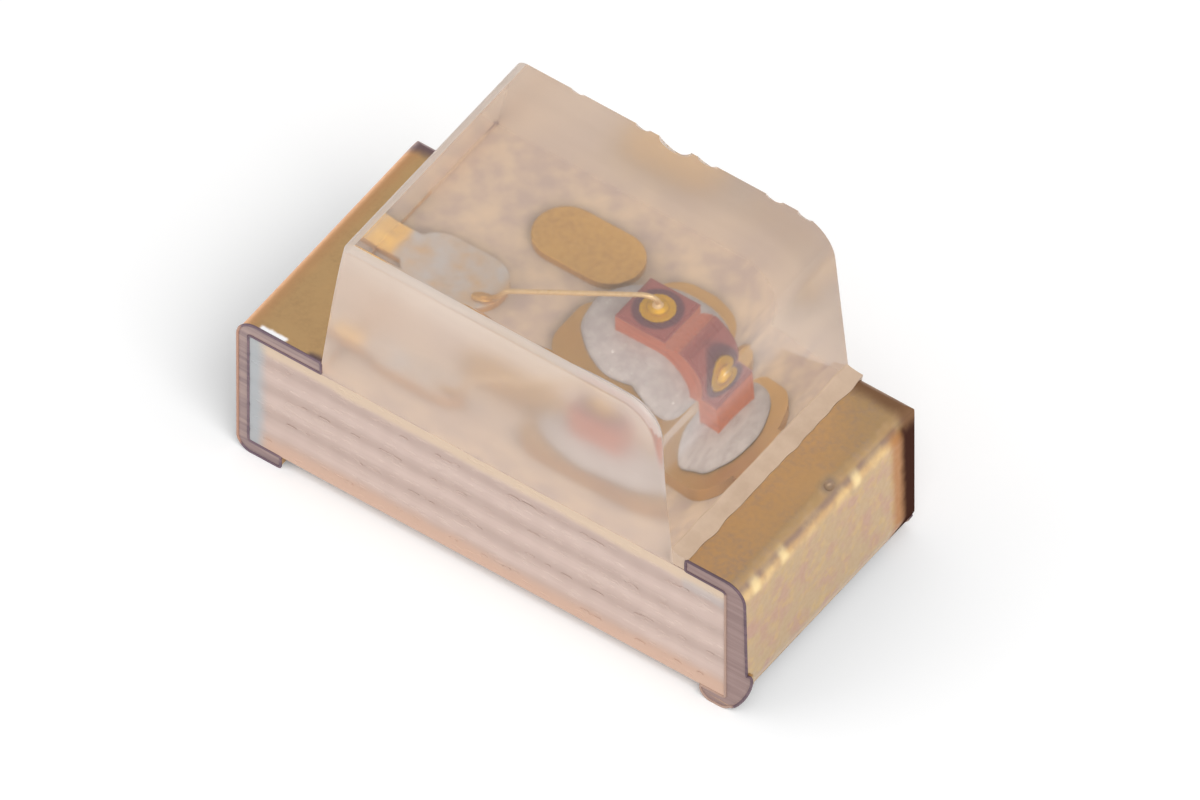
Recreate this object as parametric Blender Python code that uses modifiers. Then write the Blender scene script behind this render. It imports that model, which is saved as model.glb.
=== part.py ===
"""A 1608 chip LED: a red die on a laminated board with wrapped end terminals, under a moulded clear lens.

Metres, +Z up. The origin is the middle of the footprint. X runs along the board, from the terminal that the
bond wire is stitched to, towards the one that carries the die. The feet stand on Z = 0, and the two long
faces, at plus and minus Y, are sawn flush through board, terminals and lens.
"""
import math

import bmesh
import bpy
from mathutils import Matrix, Vector

MM = 0.001

# The whole part
PART_LENGTH = 1.644 * MM       # from the left end to the tip of the saw's burr at the right
PART_WIDTH = 0.787 * MM
FIT = 0.002 * MM            # gap between pieces that touch on the real part

# Laminated board
CORE_THICKNESS = 0.416 * MM
PLY_HEIGHT = 0.0995 * MM
PLY_GROOVE_COUNT = 4
LOWEST_GROOVE = 0.0455 * MM     # above the board's underside
PLY_GROOVE_DEPTH = 0.006 * MM   # the saw frays the glass cloth between two plies
PLY_GROOVE_HEIGHT = 0.016 * MM

# Copper with its plating
LAND_THICKNESS = 0.044 * MM     # lands and pads on the board's top
FOOT_THICKNESS = 0.042 * MM     # lands on the underside, which are soldered
INNER_RADIUS = 0.012 * MM       # where the end wall turns into the lands
LAND_EDGE_RADIUS = 0.008 * MM   # etched edges of the lands
LEFT_WALL = 0.034 * MM
LEFT_LAND_LENGTH = 0.267 * MM
LEFT_LEAN = 0.0 * MM            # how far the end wall leans in from foot to land
LEFT_TOP_RADIUS = 0.06 * MM
LEFT_FOOT_LENGTH = 0.138 * MM   # at the sawn faces
LEFT_TOE_RADIUS = 0.008 * MM
LEFT_HEEL = ((0.0 * MM, 0.0 * MM, 0.05 * MM),)      # inset, height and radius of each corner
RIGHT_WALL = 0.072 * MM
RIGHT_SETBACK = 0.012 * MM      # the right end wall stands this far inside the burr's tip
RIGHT_LAND_LENGTH = 0.2 * MM
RIGHT_LEAN = 0.012 * MM
RIGHT_TOP_RADIUS = 0.06 * MM
RIGHT_FOOT_LENGTH = 0.152 * MM
RIGHT_TOE_RADIUS = 0.036 * MM
RIGHT_HEEL = ((0.065 * MM, 0.0 * MM, 0.05 * MM), (0.004 * MM, 0.135 * MM, 0.12 * MM))
FOOT_TONGUE_LENGTH = 0.33 * MM      # both feet reach this far in the middle
FOOT_TONGUE_WIDTH = 0.56 * MM
FOOT_TONGUE_RADIUS = 0.06 * MM
LEFT_WORN_LENGTH = 0.02 * MM        # what is worn off the upright corner at the back, along X
RIGHT_WORN_LENGTH = 0.042 * MM
WORN_WIDTH = 0.12 * MM              # and along Y
ROLLED_EDGE_RADIUS = 0.038 * MM     # upper edge at the back of both lands
BURR_INSET = 0.0259 * MM            # copper smeared by the saw over the front of the right end's heel
BURR_MIDDLE = 0.097 * MM
BURR_THICKNESS = 0.04 * MM
BURR_WIDTH = 0.08 * MM
BURR_HEIGHT = 0.17 * MM
BURR_TILT = math.radians(23)
NICK_Y = 0.035 * MM                 # nick in the right end's upper edge
NICK_INSET = 0.045 * MM
NICK_SIZE = 0.036 * MM
NICK_DEPTH = 0.014 * MM

# Pads under the lens
WIRE_PAD_X = -0.341 * MM
WIRE_PAD_Y = -0.095 * MM
WIRE_PAD_LENGTH = 0.31 * MM
WIRE_PAD_WIDTH = 0.19 * MM
WIRE_NECK_WIDTH = 0.1 * MM
DIE_PAD_LEFT = -0.005 * MM
DIE_PAD_RIGHT = 0.523 * MM
DIE_PAD_FRONT = -0.2 * MM
DIE_PAD_BACK = 0.227 * MM
DIE_PAD_SLANT_X = 0.16 * MM         # the back left corner is cut off, clear of the oval pad
DIE_PAD_SLANT_Y = 0.0 * MM
DIE_PAD_LEFT_RADIUS = 0.1 * MM
DIE_PAD_RIGHT_RADIUS = 0.2 * MM
DIE_PAD_SLANT_RADIUS = 0.06 * MM
DIE_NECK_Y = 0.011 * MM
DIE_NECK_WIDTH = 0.2 * MM
OVAL_PAD_X = -0.109 * MM
OVAL_PAD_Y = 0.178 * MM
OVAL_PAD_LENGTH = 0.328 * MM
OVAL_PAD_WIDTH = 0.186 * MM

# Die and what it is glued with
DIE_X = 0.208 * MM
DIE_Y = 0.044 * MM
DIE_SIDE = 0.16 * MM
DIE_HEIGHT = 0.146 * MM
DIE_MESA_SIDE = 0.144 * MM      # the grown layers, inside the sawn street
DIE_MESA_HEIGHT = 0.008 * MM
BOND_LINE = 0.008 * MM          # silver epoxy left under the die
POOL_X = 0.23 * MM
POOL_Y = 0.016 * MM
POOL_LENGTH = 0.43 * MM
POOL_WIDTH = 0.35 * MM
POOL_HEIGHT = 0.052 * MM
ELECTRODE_DIAMETER = 0.098 * MM
ELECTRODE_THICKNESS = 0.005 * MM

# Bond wire
WIRE_DIAMETER = 0.02 * MM
BALL_DIAMETER = 0.06 * MM
BALL_HEIGHT = 0.026 * MM
LOOP_RISE = 0.1 * MM            # corner of the bend above the die
LOOP_BEND_RADIUS = 0.034 * MM
STITCH_X = -0.227 * MM
STITCH_Y = -0.132 * MM
STITCH_LENGTH = 0.06 * MM
STITCH_WIDTH = 0.034 * MM
STITCH_THICKNESS = 0.011 * MM
KNEE_REACH = 0.069 * MM         # the wire drops steeply over this last stretch
KNEE_RISE = 0.084 * MM          # and starts that drop at this height over the pad
KNEE_RADIUS = 0.04 * MM
LANDING_RISE = 0.002 * MM       # of the wire's underside over the pad
LANDING_LENGTH = 0.03 * MM      # the wire lies nearly flat before the stitch
LANDING_BEND_RADIUS = 0.04 * MM

# Moulded lens
LENS_LENGTH = 1.137 * MM        # where it meets the board
LENS_X = 0.0025 * MM            # its middle: it runs onto the left land and stops short of the right one
LENS_HEIGHT = 0.555 * MM        # above the board's top
LENS_LEFT_DRAFT = math.radians(8.9)
LENS_RIGHT_DRAFT = math.radians(5.9)
LENS_LEFT_EDGE_RADIUS = 0.042 * MM
LENS_RIGHT_EDGE_RADIUS = 0.092 * MM
CHIP_X = 0.014 * MM              # small piece broken out of the back upper edge
CHIP_LENGTH = 0.11 * MM
CHIP_WIDTH = 0.05 * MM
CHIP_DEPTH = 0.026 * MM
CHIP_TILT = math.radians(12)

# Printed mark on the underside: a bar and an arrowhead that points at the wire pad's end
MARK_THICKNESS = 0.018 * MM
MARK_BAR_LENGTH = 0.26 * MM
MARK_BAR_WIDTH = 0.1 * MM
MARK_HEAD_LENGTH = 0.18 * MM
MARK_HEAD_WIDTH = 0.34 * MM

# How finely round stretches are cut into flats
ARC_STEPS = 8
TURN_STEPS = 48
CAP_STEPS = 6
WIRE_SIDES_RESOLUTION = 2
WELD_DISTANCE = 0.00001 * MM
GRID = 0.00001 * MM             # places are kept to this, so that flush faces are flush to the last digit
OVERRUN = 0.05 * MM             # how far a cutter passes a face that it opens
NEARLY_ROUND = 0.999            # share of the half width that an oval's corners turn through

# Places worked out from the sizes
CORE_BOTTOM = FOOT_THICKNESS
CORE_TOP = CORE_BOTTOM + CORE_THICKNESS
LAND_TOP = CORE_TOP + LAND_THICKNESS
LEFT_END = -PART_LENGTH / 2
RIGHT_END = PART_LENGTH / 2 - RIGHT_SETBACK
HALF_WIDTH = round(PART_WIDTH / 2 / GRID) * GRID
LENS_TOP = CORE_TOP + LENS_HEIGHT
LENS_BASE_LEFT = LENS_X - LENS_LENGTH / 2
LENS_BASE_RIGHT = LENS_X + LENS_LENGTH / 2
DIE_BOTTOM = LAND_TOP + BOND_LINE
DIE_TOP = DIE_BOTTOM + DIE_HEIGHT
ELECTRODE_BOTTOM = DIE_TOP + FIT
ELECTRODE_TOP = ELECTRODE_BOTTOM + ELECTRODE_THICKNESS
UPRIGHT = Matrix.Rotation(math.pi / 2, 4, "X")      # stands a flat outline up in the XZ plane
ALONG_X = Matrix.Rotation(math.pi / 2, 4, "Z") @ UPRIGHT     # and this one in the YZ plane


def clear_scene():
    """Remove every object that the scene starts with."""
    for old in list(bpy.data.objects):
        bpy.data.objects.remove(old, do_unlink=True)


def new_collection(name):
    """Make a collection under the scene's own."""
    group = bpy.data.collections.new(name)
    bpy.context.scene.collection.children.link(group)
    return group


def finish(name, colour, roughness, metallic=0.0, transmission=0.0, alpha=1.0):
    """Make a Principled material."""
    material = bpy.data.materials.new(name)
    material.use_nodes = True
    shader = material.node_tree.nodes["Principled BSDF"]
    shader.inputs["Base Color"].default_value = (*colour, 1.0)
    shader.inputs["Roughness"].default_value = roughness
    shader.inputs["Metallic"].default_value = metallic
    shader.inputs["Transmission Weight"].default_value = transmission
    shader.inputs["Alpha"].default_value = alpha
    material.diffuse_color = (*colour, alpha)
    material.metallic = metallic
    material.roughness = roughness
    return material


def fillet_arc(before, corner, after, radius):
    """Give the points of the arc that rounds one corner."""
    to_before = (before - corner).normalized()
    to_after = (after - corner).normalized()
    half_angle = to_before.angle(to_after) / 2
    centre = corner + (to_before + to_after).normalized() * radius / math.sin(half_angle)
    start = corner + to_before * radius / math.tan(half_angle) - centre
    end = corner + to_after * radius / math.tan(half_angle) - centre
    first = math.atan2(start.y, start.x)
    sweep = (math.atan2(end.y, end.x) - first + math.pi) % (2 * math.pi) - math.pi
    return [centre + radius * Vector((math.cos(first + sweep * step / ARC_STEPS),
                                      math.sin(first + sweep * step / ARC_STEPS)))
            for step in range(ARC_STEPS + 1)]


def rounded(corners, closed=True):
    """Round the corners of an outline or an open path; each corner is (x, y, radius)."""
    points = []
    spots = [Vector((x, y)) for x, y, _ in corners]
    for index, (x, y, radius) in enumerate(corners):
        is_end = not closed and index in (0, len(corners) - 1)
        if radius <= 0 or is_end:
            points.append(spots[index])
            continue
        after = spots[(index + 1) % len(spots)]
        points += fillet_arc(spots[index - 1], spots[index], after, radius)
    return points


def widened(corners, grow):
    """Move the sides of an outline with rounded outer corners outwards."""
    result = []
    spots = [Vector((x, y)) for x, y, _ in corners]
    for index, corner in enumerate(spots):
        to_before = (spots[index - 1] - corner).normalized()
        to_after = (spots[(index + 1) % len(spots)] - corner).normalized()
        moved = corner - (to_before + to_after).normalized() * grow / math.sin(to_before.angle(to_after) / 2)
        result.append((moved.x, moved.y, corners[index][2] + grow))
    return result


def rectangle(left, right, front, back, radius=0.0):
    """Outline of a rectangle with rounded corners."""
    spots = [(left, front), (right, front), (right, back), (left, back)]
    return rounded([(x, y, radius) for x, y in spots])


def circle(x, y, radius):
    """Outline of a circle."""
    turns = [2 * math.pi * step / TURN_STEPS for step in range(TURN_STEPS)]
    return [Vector((x + radius * math.cos(turn), y + radius * math.sin(turn))) for turn in turns]


def stadium(x, y, length, width):
    """Outline of an oval with straight sides and round ends."""
    return rectangle(x - length / 2, x + length / 2, y - width / 2, y + width / 2, width / 2 * NEARLY_ROUND)


def place(mesh, name, group):
    """Put a mesh in the scene as a named object."""
    thing = bpy.data.objects.new(name, mesh)
    group.objects.link(thing)
    return thing


def snap(mesh):
    """Put every point of a mesh on the grid."""
    for vertex in mesh.vertices:
        vertex.co = [round(value / GRID) * GRID for value in vertex.co]


def mesh_of(curve, name, is_turned=False):
    """Make a closed mesh from a curve, or from a profile that is turned about Z, and remove the curve."""
    source = bpy.data.objects.new(name, curve)
    if is_turned:
        turn = source.modifiers.new("turn", "SCREW")
        turn.steps = turn.render_steps = TURN_STEPS
        turn.use_merge_vertices = True
        turn.merge_threshold = WELD_DISTANCE
    bpy.context.scene.collection.objects.link(source)
    bpy.context.view_layer.update()
    mesh = bpy.data.meshes.new_from_object(source.evaluated_get(bpy.context.evaluated_depsgraph_get()))
    bpy.data.objects.remove(source)
    mesh.name = name
    shell = bmesh.new()
    shell.from_mesh(mesh)
    bmesh.ops.remove_doubles(shell, verts=shell.verts, dist=WELD_DISTANCE)
    bmesh.ops.recalc_face_normals(shell, faces=shell.faces)
    shell.to_mesh(mesh)
    shell.free()
    return mesh


def extruded(name, outline, low, high, group, turn=None):
    """Extrude a flat outline from low to high, then stand it up if a turn is given."""
    curve = bpy.data.curves.new(name, "CURVE")
    curve.dimensions = "2D"
    curve.fill_mode = "BOTH"
    curve.extrude = (high - low) / 2
    spline = curve.splines.new("POLY")
    spline.points.add(len(outline) - 1)
    for point, spot in zip(spline.points, outline):
        point.co = (spot.x, spot.y, 0, 1)
    spline.use_cyclic_u = True
    mesh = mesh_of(curve, name)
    mesh.transform(Matrix.Translation((0, 0, (low + high) / 2)))
    if turn is not None:
        mesh.transform(turn)
    snap(mesh)
    return place(mesh, name, group)


def across(name, profile, group, grow=0.0):
    """Extrude an XZ profile over the part's whole width, from one sawn face to the other."""
    return extruded(name, profile, -HALF_WIDTH - grow, HALF_WIDTH + grow, group, UPRIGHT)


def block(name, centre, size, group):
    """Make a box."""
    mesh = bpy.data.meshes.new(name)
    shell = bmesh.new()
    bmesh.ops.create_cube(shell, size=1.0, matrix=Matrix.Translation(centre) @ Matrix.Diagonal((*size, 1.0)))
    shell.to_mesh(mesh)
    shell.free()
    snap(mesh)
    return place(mesh, name, group)


def ball(name, centre, size, group, turn=0.0, tilt=0.0):
    """Make a sphere stretched to a size, turned about Z and tilted about Y."""
    mesh = bpy.data.meshes.new(name)
    shell = bmesh.new()
    pose = (Matrix.Translation(centre) @ Matrix.Rotation(turn, 4, "Z") @ Matrix.Rotation(tilt, 4, "Y")
            @ Matrix.Diagonal((*size, 1.0)))
    bmesh.ops.create_uvsphere(shell, u_segments=TURN_STEPS // 3, v_segments=TURN_STEPS // 4, radius=0.5,
                              matrix=pose)
    shell.to_mesh(mesh)
    shell.free()
    snap(mesh)
    return place(mesh, name, group)


def boolean(thing, tool, operation, cutters):
    """Cut a piece with a tool, or weld the tool to it, and keep the tool out of the part."""
    step = thing.modifiers.new(tool.name, "BOOLEAN")
    step.operation = operation
    step.solver = "EXACT"
    step.object = tool
    for group in list(tool.users_collection):
        group.objects.unlink(tool)
    cutters.objects.link(tool)
    tool.hide_render = True
    tool.display_type = "WIRE"
    return thing


def finished(thing, material, smooth_angle=math.radians(35)):
    """Give a piece its material and its shading."""
    if thing.data.materials:
        thing.data.materials.clear()
    thing.data.materials.append(material)
    thing.data.shade_smooth()
    thing.data.set_sharp_from_angle(angle=smooth_angle)
    return thing


def inside(side, distance):
    """X of a place that lies this far inside the left end (side -1) or the right end (side 1)."""
    return LEFT_END + distance if side < 0 else RIGHT_END - distance


def substrate(parts):
    """The board: pressed plies, frayed a little between them on the two sawn faces."""
    low = CORE_BOTTOM + FIT
    grooves = [CORE_BOTTOM + LOWEST_GROOVE + PLY_HEIGHT * number for number in range(PLY_GROOVE_COUNT)]

    def fray(side, heights, direction):
        """Points of the grooves up or down one sawn face."""
        points = []
        for height in heights:
            points.append(Vector((side * HALF_WIDTH, height - direction * PLY_GROOVE_HEIGHT / 2)))
            points.append(Vector((side * (HALF_WIDTH - PLY_GROOVE_DEPTH), height)))
            points.append(Vector((side * HALF_WIDTH, height + direction * PLY_GROOVE_HEIGHT / 2)))
        return points

    outline = [Vector((HALF_WIDTH, low)), *fray(1, grooves, 1), Vector((HALF_WIDTH, CORE_TOP)),
               Vector((-HALF_WIDTH, CORE_TOP)), *fray(-1, reversed(grooves), -1), Vector((-HALF_WIDTH, low))]
    left, right = inside(-1, LEFT_WALL + FIT), inside(1, RIGHT_WALL + FIT)
    board = extruded("substrate", outline, left, right, parts, ALONG_X)
    return finished(board, finish("laminate", (0.63, 0.46, 0.38), 0.6))


def wrap_profile(side, thickness, land_length, foot_length, lean, top_radius, heel, toe_radius):
    """Section of a terminal in XZ: land, end wall and foot."""
    inner, land, foot = inside(side, thickness), inside(side, land_length), inside(side, foot_length)
    core_top = CORE_TOP + FIT
    return rounded([
        *[(inside(side, inset), height, radius) for inset, height, radius in heel],
        (inside(side, lean), LAND_TOP, top_radius),
        (land, LAND_TOP, LAND_EDGE_RADIUS),
        (land, core_top, 0),
        (inner, core_top, INNER_RADIUS),
        (inner, CORE_BOTTOM, INNER_RADIUS),
        (foot, CORE_BOTTOM, 0),
        (foot, 0, toe_radius),
    ])


def worn_corner(side, length, cutters):
    """What the saw wears off one end's upright corner at the back."""
    turns = [math.pi / 2 * step / ARC_STEPS for step in range(ARC_STEPS + 1)]
    inward, start = inside(side, length), HALF_WIDTH - WORN_WIDTH
    edge = [Vector((inward + side * length * math.cos(turn), start + WORN_WIDTH * math.sin(turn)))
            for turn in turns]
    beyond, past = inside(side, -OVERRUN), HALF_WIDTH + OVERRUN
    outside = [Vector((inward, past)), Vector((beyond, past)), Vector((beyond, start))]
    return extruded(f"worn_corner_{side}", edge + outside, -OVERRUN, LAND_TOP + OVERRUN, cutters)


def rolled_edge(cutters):
    """What is rolled off the upper edges of the lands along the back."""
    y, z, radius = HALF_WIDTH, LAND_TOP, ROLLED_EDGE_RADIUS
    edge = fillet_arc(Vector((y, z - radius)), Vector((y, z)), Vector((0, z)), radius)
    outside = [Vector((y - radius, z + OVERRUN)), Vector((y + OVERRUN, z + OVERRUN)),
               Vector((y + OVERRUN, z - radius))]
    left, right = inside(-1, -OVERRUN), inside(1, -OVERRUN)
    return extruded("rolled_edge", edge + outside, left, right, cutters, ALONG_X)


def wire_pad_outlines(grow=0.0):
    """The neck and the oval of the pad that the wire is stitched to."""
    neck = WIRE_NECK_WIDTH / 2 + grow
    return [
        rectangle(inside(-1, LEFT_LAND_LENGTH / 2), WIRE_PAD_X, WIRE_PAD_Y - neck, WIRE_PAD_Y + neck),
        stadium(WIRE_PAD_X, WIRE_PAD_Y, WIRE_PAD_LENGTH + 2 * grow, WIRE_PAD_WIDTH + 2 * grow),
    ]


def die_pad_outlines(grow=0.0):
    """The neck and the body of the pad that the die sits on."""
    neck = DIE_NECK_WIDTH / 2 + grow
    middle = (DIE_PAD_LEFT + DIE_PAD_RIGHT) / 2
    body = [
        (DIE_PAD_LEFT, DIE_PAD_FRONT, DIE_PAD_LEFT_RADIUS),
        (DIE_PAD_RIGHT, DIE_PAD_FRONT, DIE_PAD_RIGHT_RADIUS),
        (DIE_PAD_RIGHT, DIE_PAD_BACK, DIE_PAD_RIGHT_RADIUS),
        (DIE_PAD_SLANT_X, DIE_PAD_BACK, DIE_PAD_LEFT_RADIUS),
        (DIE_PAD_LEFT, DIE_PAD_SLANT_Y, DIE_PAD_SLANT_RADIUS),
    ]
    return [
        rectangle(middle, inside(1, RIGHT_LAND_LENGTH / 2), DIE_NECK_Y - neck, DIE_NECK_Y + neck),
        rounded(widened(body, grow)),
    ]


def foot_tongue(side, foot_length):
    """The middle of a foot, which reaches further under the board."""
    wall, tip = inside(side, foot_length / 2), inside(side, FOOT_TONGUE_LENGTH)
    half = FOOT_TONGUE_WIDTH / 2
    return rounded([(wall, -half, 0), (tip, -half, FOOT_TONGUE_RADIUS), (tip, half, FOOT_TONGUE_RADIUS),
                    (wall, half, 0)])


def terminal(name, profile, tongue_outline, pads, parts, cutters):
    """One plated terminal: the wrap, the tongue of its foot and the copper that it feeds under the lens."""
    piece = across(name, profile, parts)
    tongue = extruded(name + "_tongue", tongue_outline, 0, CORE_BOTTOM, cutters)
    boolean(piece, tongue, "UNION", cutters)
    for number, outline in enumerate(pads):
        pad = extruded(f"{name}_pad_{number}", outline, CORE_TOP + FIT, LAND_TOP, cutters)
        boolean(piece, pad, "UNION", cutters)
    return piece


def left_terminal(parts, cutters, edge, material):
    """The terminal that the bond wire is stitched to."""
    profile = wrap_profile(-1, LEFT_WALL, LEFT_LAND_LENGTH, LEFT_FOOT_LENGTH, LEFT_LEAN, LEFT_TOP_RADIUS,
                           LEFT_HEEL, LEFT_TOE_RADIUS)
    tongue = foot_tongue(-1, LEFT_FOOT_LENGTH)
    piece = terminal("left_terminal", profile, tongue, wire_pad_outlines(), parts, cutters)
    boolean(piece, worn_corner(-1, LEFT_WORN_LENGTH, cutters), "DIFFERENCE", cutters)
    boolean(piece, edge, "DIFFERENCE", cutters)
    return finished(piece, material)


def saw_burr(cutters):
    """Copper that the saw smeared over the front of the right end's heel, flush with the sawn face."""
    middle = (inside(1, BURR_INSET), -HALF_WIDTH, BURR_MIDDLE)
    burr = ball("saw_burr", middle, (BURR_THICKNESS, BURR_WIDTH, BURR_HEIGHT), cutters, tilt=BURR_TILT)
    size = (BURR_HEIGHT, BURR_WIDTH, BURR_HEIGHT + OVERRUN)
    saw = block("saw_path", (middle[0], middle[1] - BURR_WIDTH / 2, middle[2]), size, cutters)
    return boolean(burr, saw, "DIFFERENCE", cutters)


def right_terminal(parts, cutters, edge, material):
    """The terminal that carries the die, with the saw's burr and the nick in its upper edge."""
    profile = wrap_profile(1, RIGHT_WALL, RIGHT_LAND_LENGTH, RIGHT_FOOT_LENGTH, RIGHT_LEAN, RIGHT_TOP_RADIUS,
                           RIGHT_HEEL, RIGHT_TOE_RADIUS)
    tongue = foot_tongue(1, RIGHT_FOOT_LENGTH)
    piece = terminal("right_terminal", profile, tongue, die_pad_outlines(), parts, cutters)
    boolean(piece, saw_burr(cutters), "UNION", cutters)
    boolean(piece, worn_corner(1, RIGHT_WORN_LENGTH, cutters), "DIFFERENCE", cutters)
    boolean(piece, edge, "DIFFERENCE", cutters)
    nick = ball("nick", (inside(1, NICK_INSET), NICK_Y, LAND_TOP), (NICK_SIZE, NICK_SIZE, 2 * NICK_DEPTH),
                cutters)
    boolean(piece, nick, "DIFFERENCE", cutters)
    return finished(piece, material)


def oval_pad(parts, material):
    """The free-standing pad of plated copper."""
    outline = stadium(OVAL_PAD_X, OVAL_PAD_Y, OVAL_PAD_LENGTH, OVAL_PAD_WIDTH)
    return finished(extruded("oval_pad", outline, CORE_TOP + FIT, LAND_TOP, parts), material)


def pool_form(name, group, grow=0.0):
    """A drop of silver epoxy, turned and then pressed oval on the pad."""
    height = POOL_HEIGHT + grow
    turns = [math.pi / 2 * step / CAP_STEPS for step in range(CAP_STEPS + 1)]
    profile = [(math.sin(turn), height * math.cos(turn)) for turn in turns] + [(0, 0)]
    curve = bpy.data.curves.new(name, "CURVE")
    curve.dimensions = "3D"
    spline = curve.splines.new("POLY")
    spline.points.add(len(profile) - 1)
    for point, (x, z) in zip(spline.points, profile):
        point.co = (x, 0, z, 1)
    mesh = mesh_of(curve, name, is_turned=True)
    mesh.transform(Matrix.Translation((POOL_X, POOL_Y, LAND_TOP + FIT))
                   @ Matrix.Diagonal((POOL_LENGTH / 2 + grow, POOL_WIDTH / 2 + grow, 1, 1)))
    snap(mesh)
    return place(mesh, name, group)


def die_form(name, group, grow=0.0):
    """The sawn block of the die."""
    side = DIE_SIDE + 2 * grow
    height = DIE_HEIGHT + 2 * grow
    return block(name, (DIE_X, DIE_Y, DIE_BOTTOM + DIE_HEIGHT / 2), (side, side, height), group)


def die_attach(parts, cutters):
    """The pool of silver epoxy, with the die sunk into it."""
    pool = pool_form("die_attach", parts)
    boolean(pool, die_form("die_seat", cutters, FIT), "DIFFERENCE", cutters)
    return finished(pool, finish("silver_epoxy", (0.52, 0.46, 0.43), 0.45, 0.5))


def led_die(parts, cutters):
    """The red crystal, with its grown layers raised inside the street that the saw ran in."""
    crystal = die_form("led_die", parts)
    rim = DIE_SIDE + OVERRUN
    street = block("saw_street", (DIE_X, DIE_Y, DIE_TOP), (rim, rim, 2 * DIE_MESA_HEIGHT), cutters)
    layers = (DIE_MESA_SIDE, DIE_MESA_SIDE, 4 * DIE_MESA_HEIGHT)
    mesa = block("mesa", (DIE_X, DIE_Y, DIE_TOP), layers, cutters)
    boolean(street, mesa, "DIFFERENCE", cutters)
    boolean(crystal, street, "DIFFERENCE", cutters)
    return finished(crystal, finish("red_crystal", (0.55, 0.13, 0.08), 0.3))


def electrode_form(name, group, grow=0.0):
    """The round of gold on top of the die."""
    outline = circle(DIE_X, DIE_Y, ELECTRODE_DIAMETER / 2 + grow)
    return extruded(name, outline, ELECTRODE_BOTTOM - grow, ELECTRODE_TOP + grow, group)


def wire_points():
    """Middle line of the wire: up from the ball, over a tight bend, along and steeply down to the stitch."""
    run = Vector((STITCH_X - DIE_X, STITCH_Y - DIE_Y))
    start = ELECTRODE_TOP + FIT + BALL_HEIGHT / 2
    landing = LAND_TOP + LANDING_RISE + FIT + WIRE_DIAMETER / 2
    path = rounded([
        (0, start, 0),
        (0, DIE_TOP + LOOP_RISE, LOOP_BEND_RADIUS),
        (run.length - KNEE_REACH, LAND_TOP + KNEE_RISE, KNEE_RADIUS),
        (run.length - LANDING_LENGTH, landing, LANDING_BEND_RADIUS),
        (run.length, landing, 0),
    ], closed=False)
    heading = run.normalized()
    return [Vector((DIE_X + heading.x * along.x, DIE_Y + heading.y * along.x, along.y)) for along in path]


def wire_form(name, group, cutters, grow=0.0):
    """Wire, ball and stitch, drawn and pressed from one gold wire."""
    curve = bpy.data.curves.new(name, "CURVE")
    curve.dimensions = "3D"
    curve.bevel_depth = WIRE_DIAMETER / 2 + grow
    curve.bevel_resolution = WIRE_SIDES_RESOLUTION
    curve.use_fill_caps = True
    route = wire_points()
    spline = curve.splines.new("POLY")
    spline.points.add(len(route) - 1)
    for point, spot in zip(spline.points, route):
        point.co = (*spot, 1)
    wire = place(mesh_of(curve, name), name, group)
    heading = Vector((STITCH_X - DIE_X, STITCH_Y - DIE_Y))
    turn = math.atan2(heading.y, heading.x)
    ball_size = (BALL_DIAMETER + 2 * grow, BALL_DIAMETER + 2 * grow, BALL_HEIGHT + 2 * grow)
    bump = ball(name + "_ball", (DIE_X, DIE_Y, ELECTRODE_TOP + FIT + BALL_HEIGHT / 2), ball_size, cutters)
    stitch_size = (STITCH_LENGTH + 2 * grow, STITCH_WIDTH + 2 * grow, STITCH_THICKNESS + 2 * grow)
    stitch = ball(name + "_stitch", (STITCH_X, STITCH_Y, LAND_TOP + FIT + STITCH_THICKNESS / 2), stitch_size,
                  cutters, turn)
    boolean(wire, bump, "UNION", cutters)
    boolean(wire, stitch, "UNION", cutters)
    return wire


def lens_profile():
    """Section of the lens in XZ, with its two drafts and its two rounded upper edges."""
    low = CORE_TOP + FIT
    left_top = LENS_BASE_LEFT + LENS_HEIGHT * math.tan(LENS_LEFT_DRAFT)
    right_top = LENS_BASE_RIGHT - LENS_HEIGHT * math.tan(LENS_RIGHT_DRAFT)
    return rounded([
        (LENS_BASE_LEFT, low, 0),
        (LENS_BASE_RIGHT, low, 0),
        (right_top, LENS_TOP, LENS_RIGHT_EDGE_RADIUS),
        (left_top, LENS_TOP, LENS_LEFT_EDGE_RADIUS),
    ])


def copper_room(side, land_length, pads, cutters):
    """Room that the lens leaves for one end's land and pads."""
    name = "left_room" if side < 0 else "right_room"
    land, outer = inside(side, land_length + FIT), inside(side, -OVERRUN)
    width = HALF_WIDTH + OVERRUN
    low, high = CORE_TOP - OVERRUN, LAND_TOP + FIT
    room = extruded(name, rectangle(min(land, outer), max(land, outer), -width, width), low, high, cutters)
    for number, outline in enumerate(pads):
        pad = extruded(f"{name}_{number}", outline, low, high, cutters)
        boolean(room, pad, "UNION", cutters)
    return room


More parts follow.
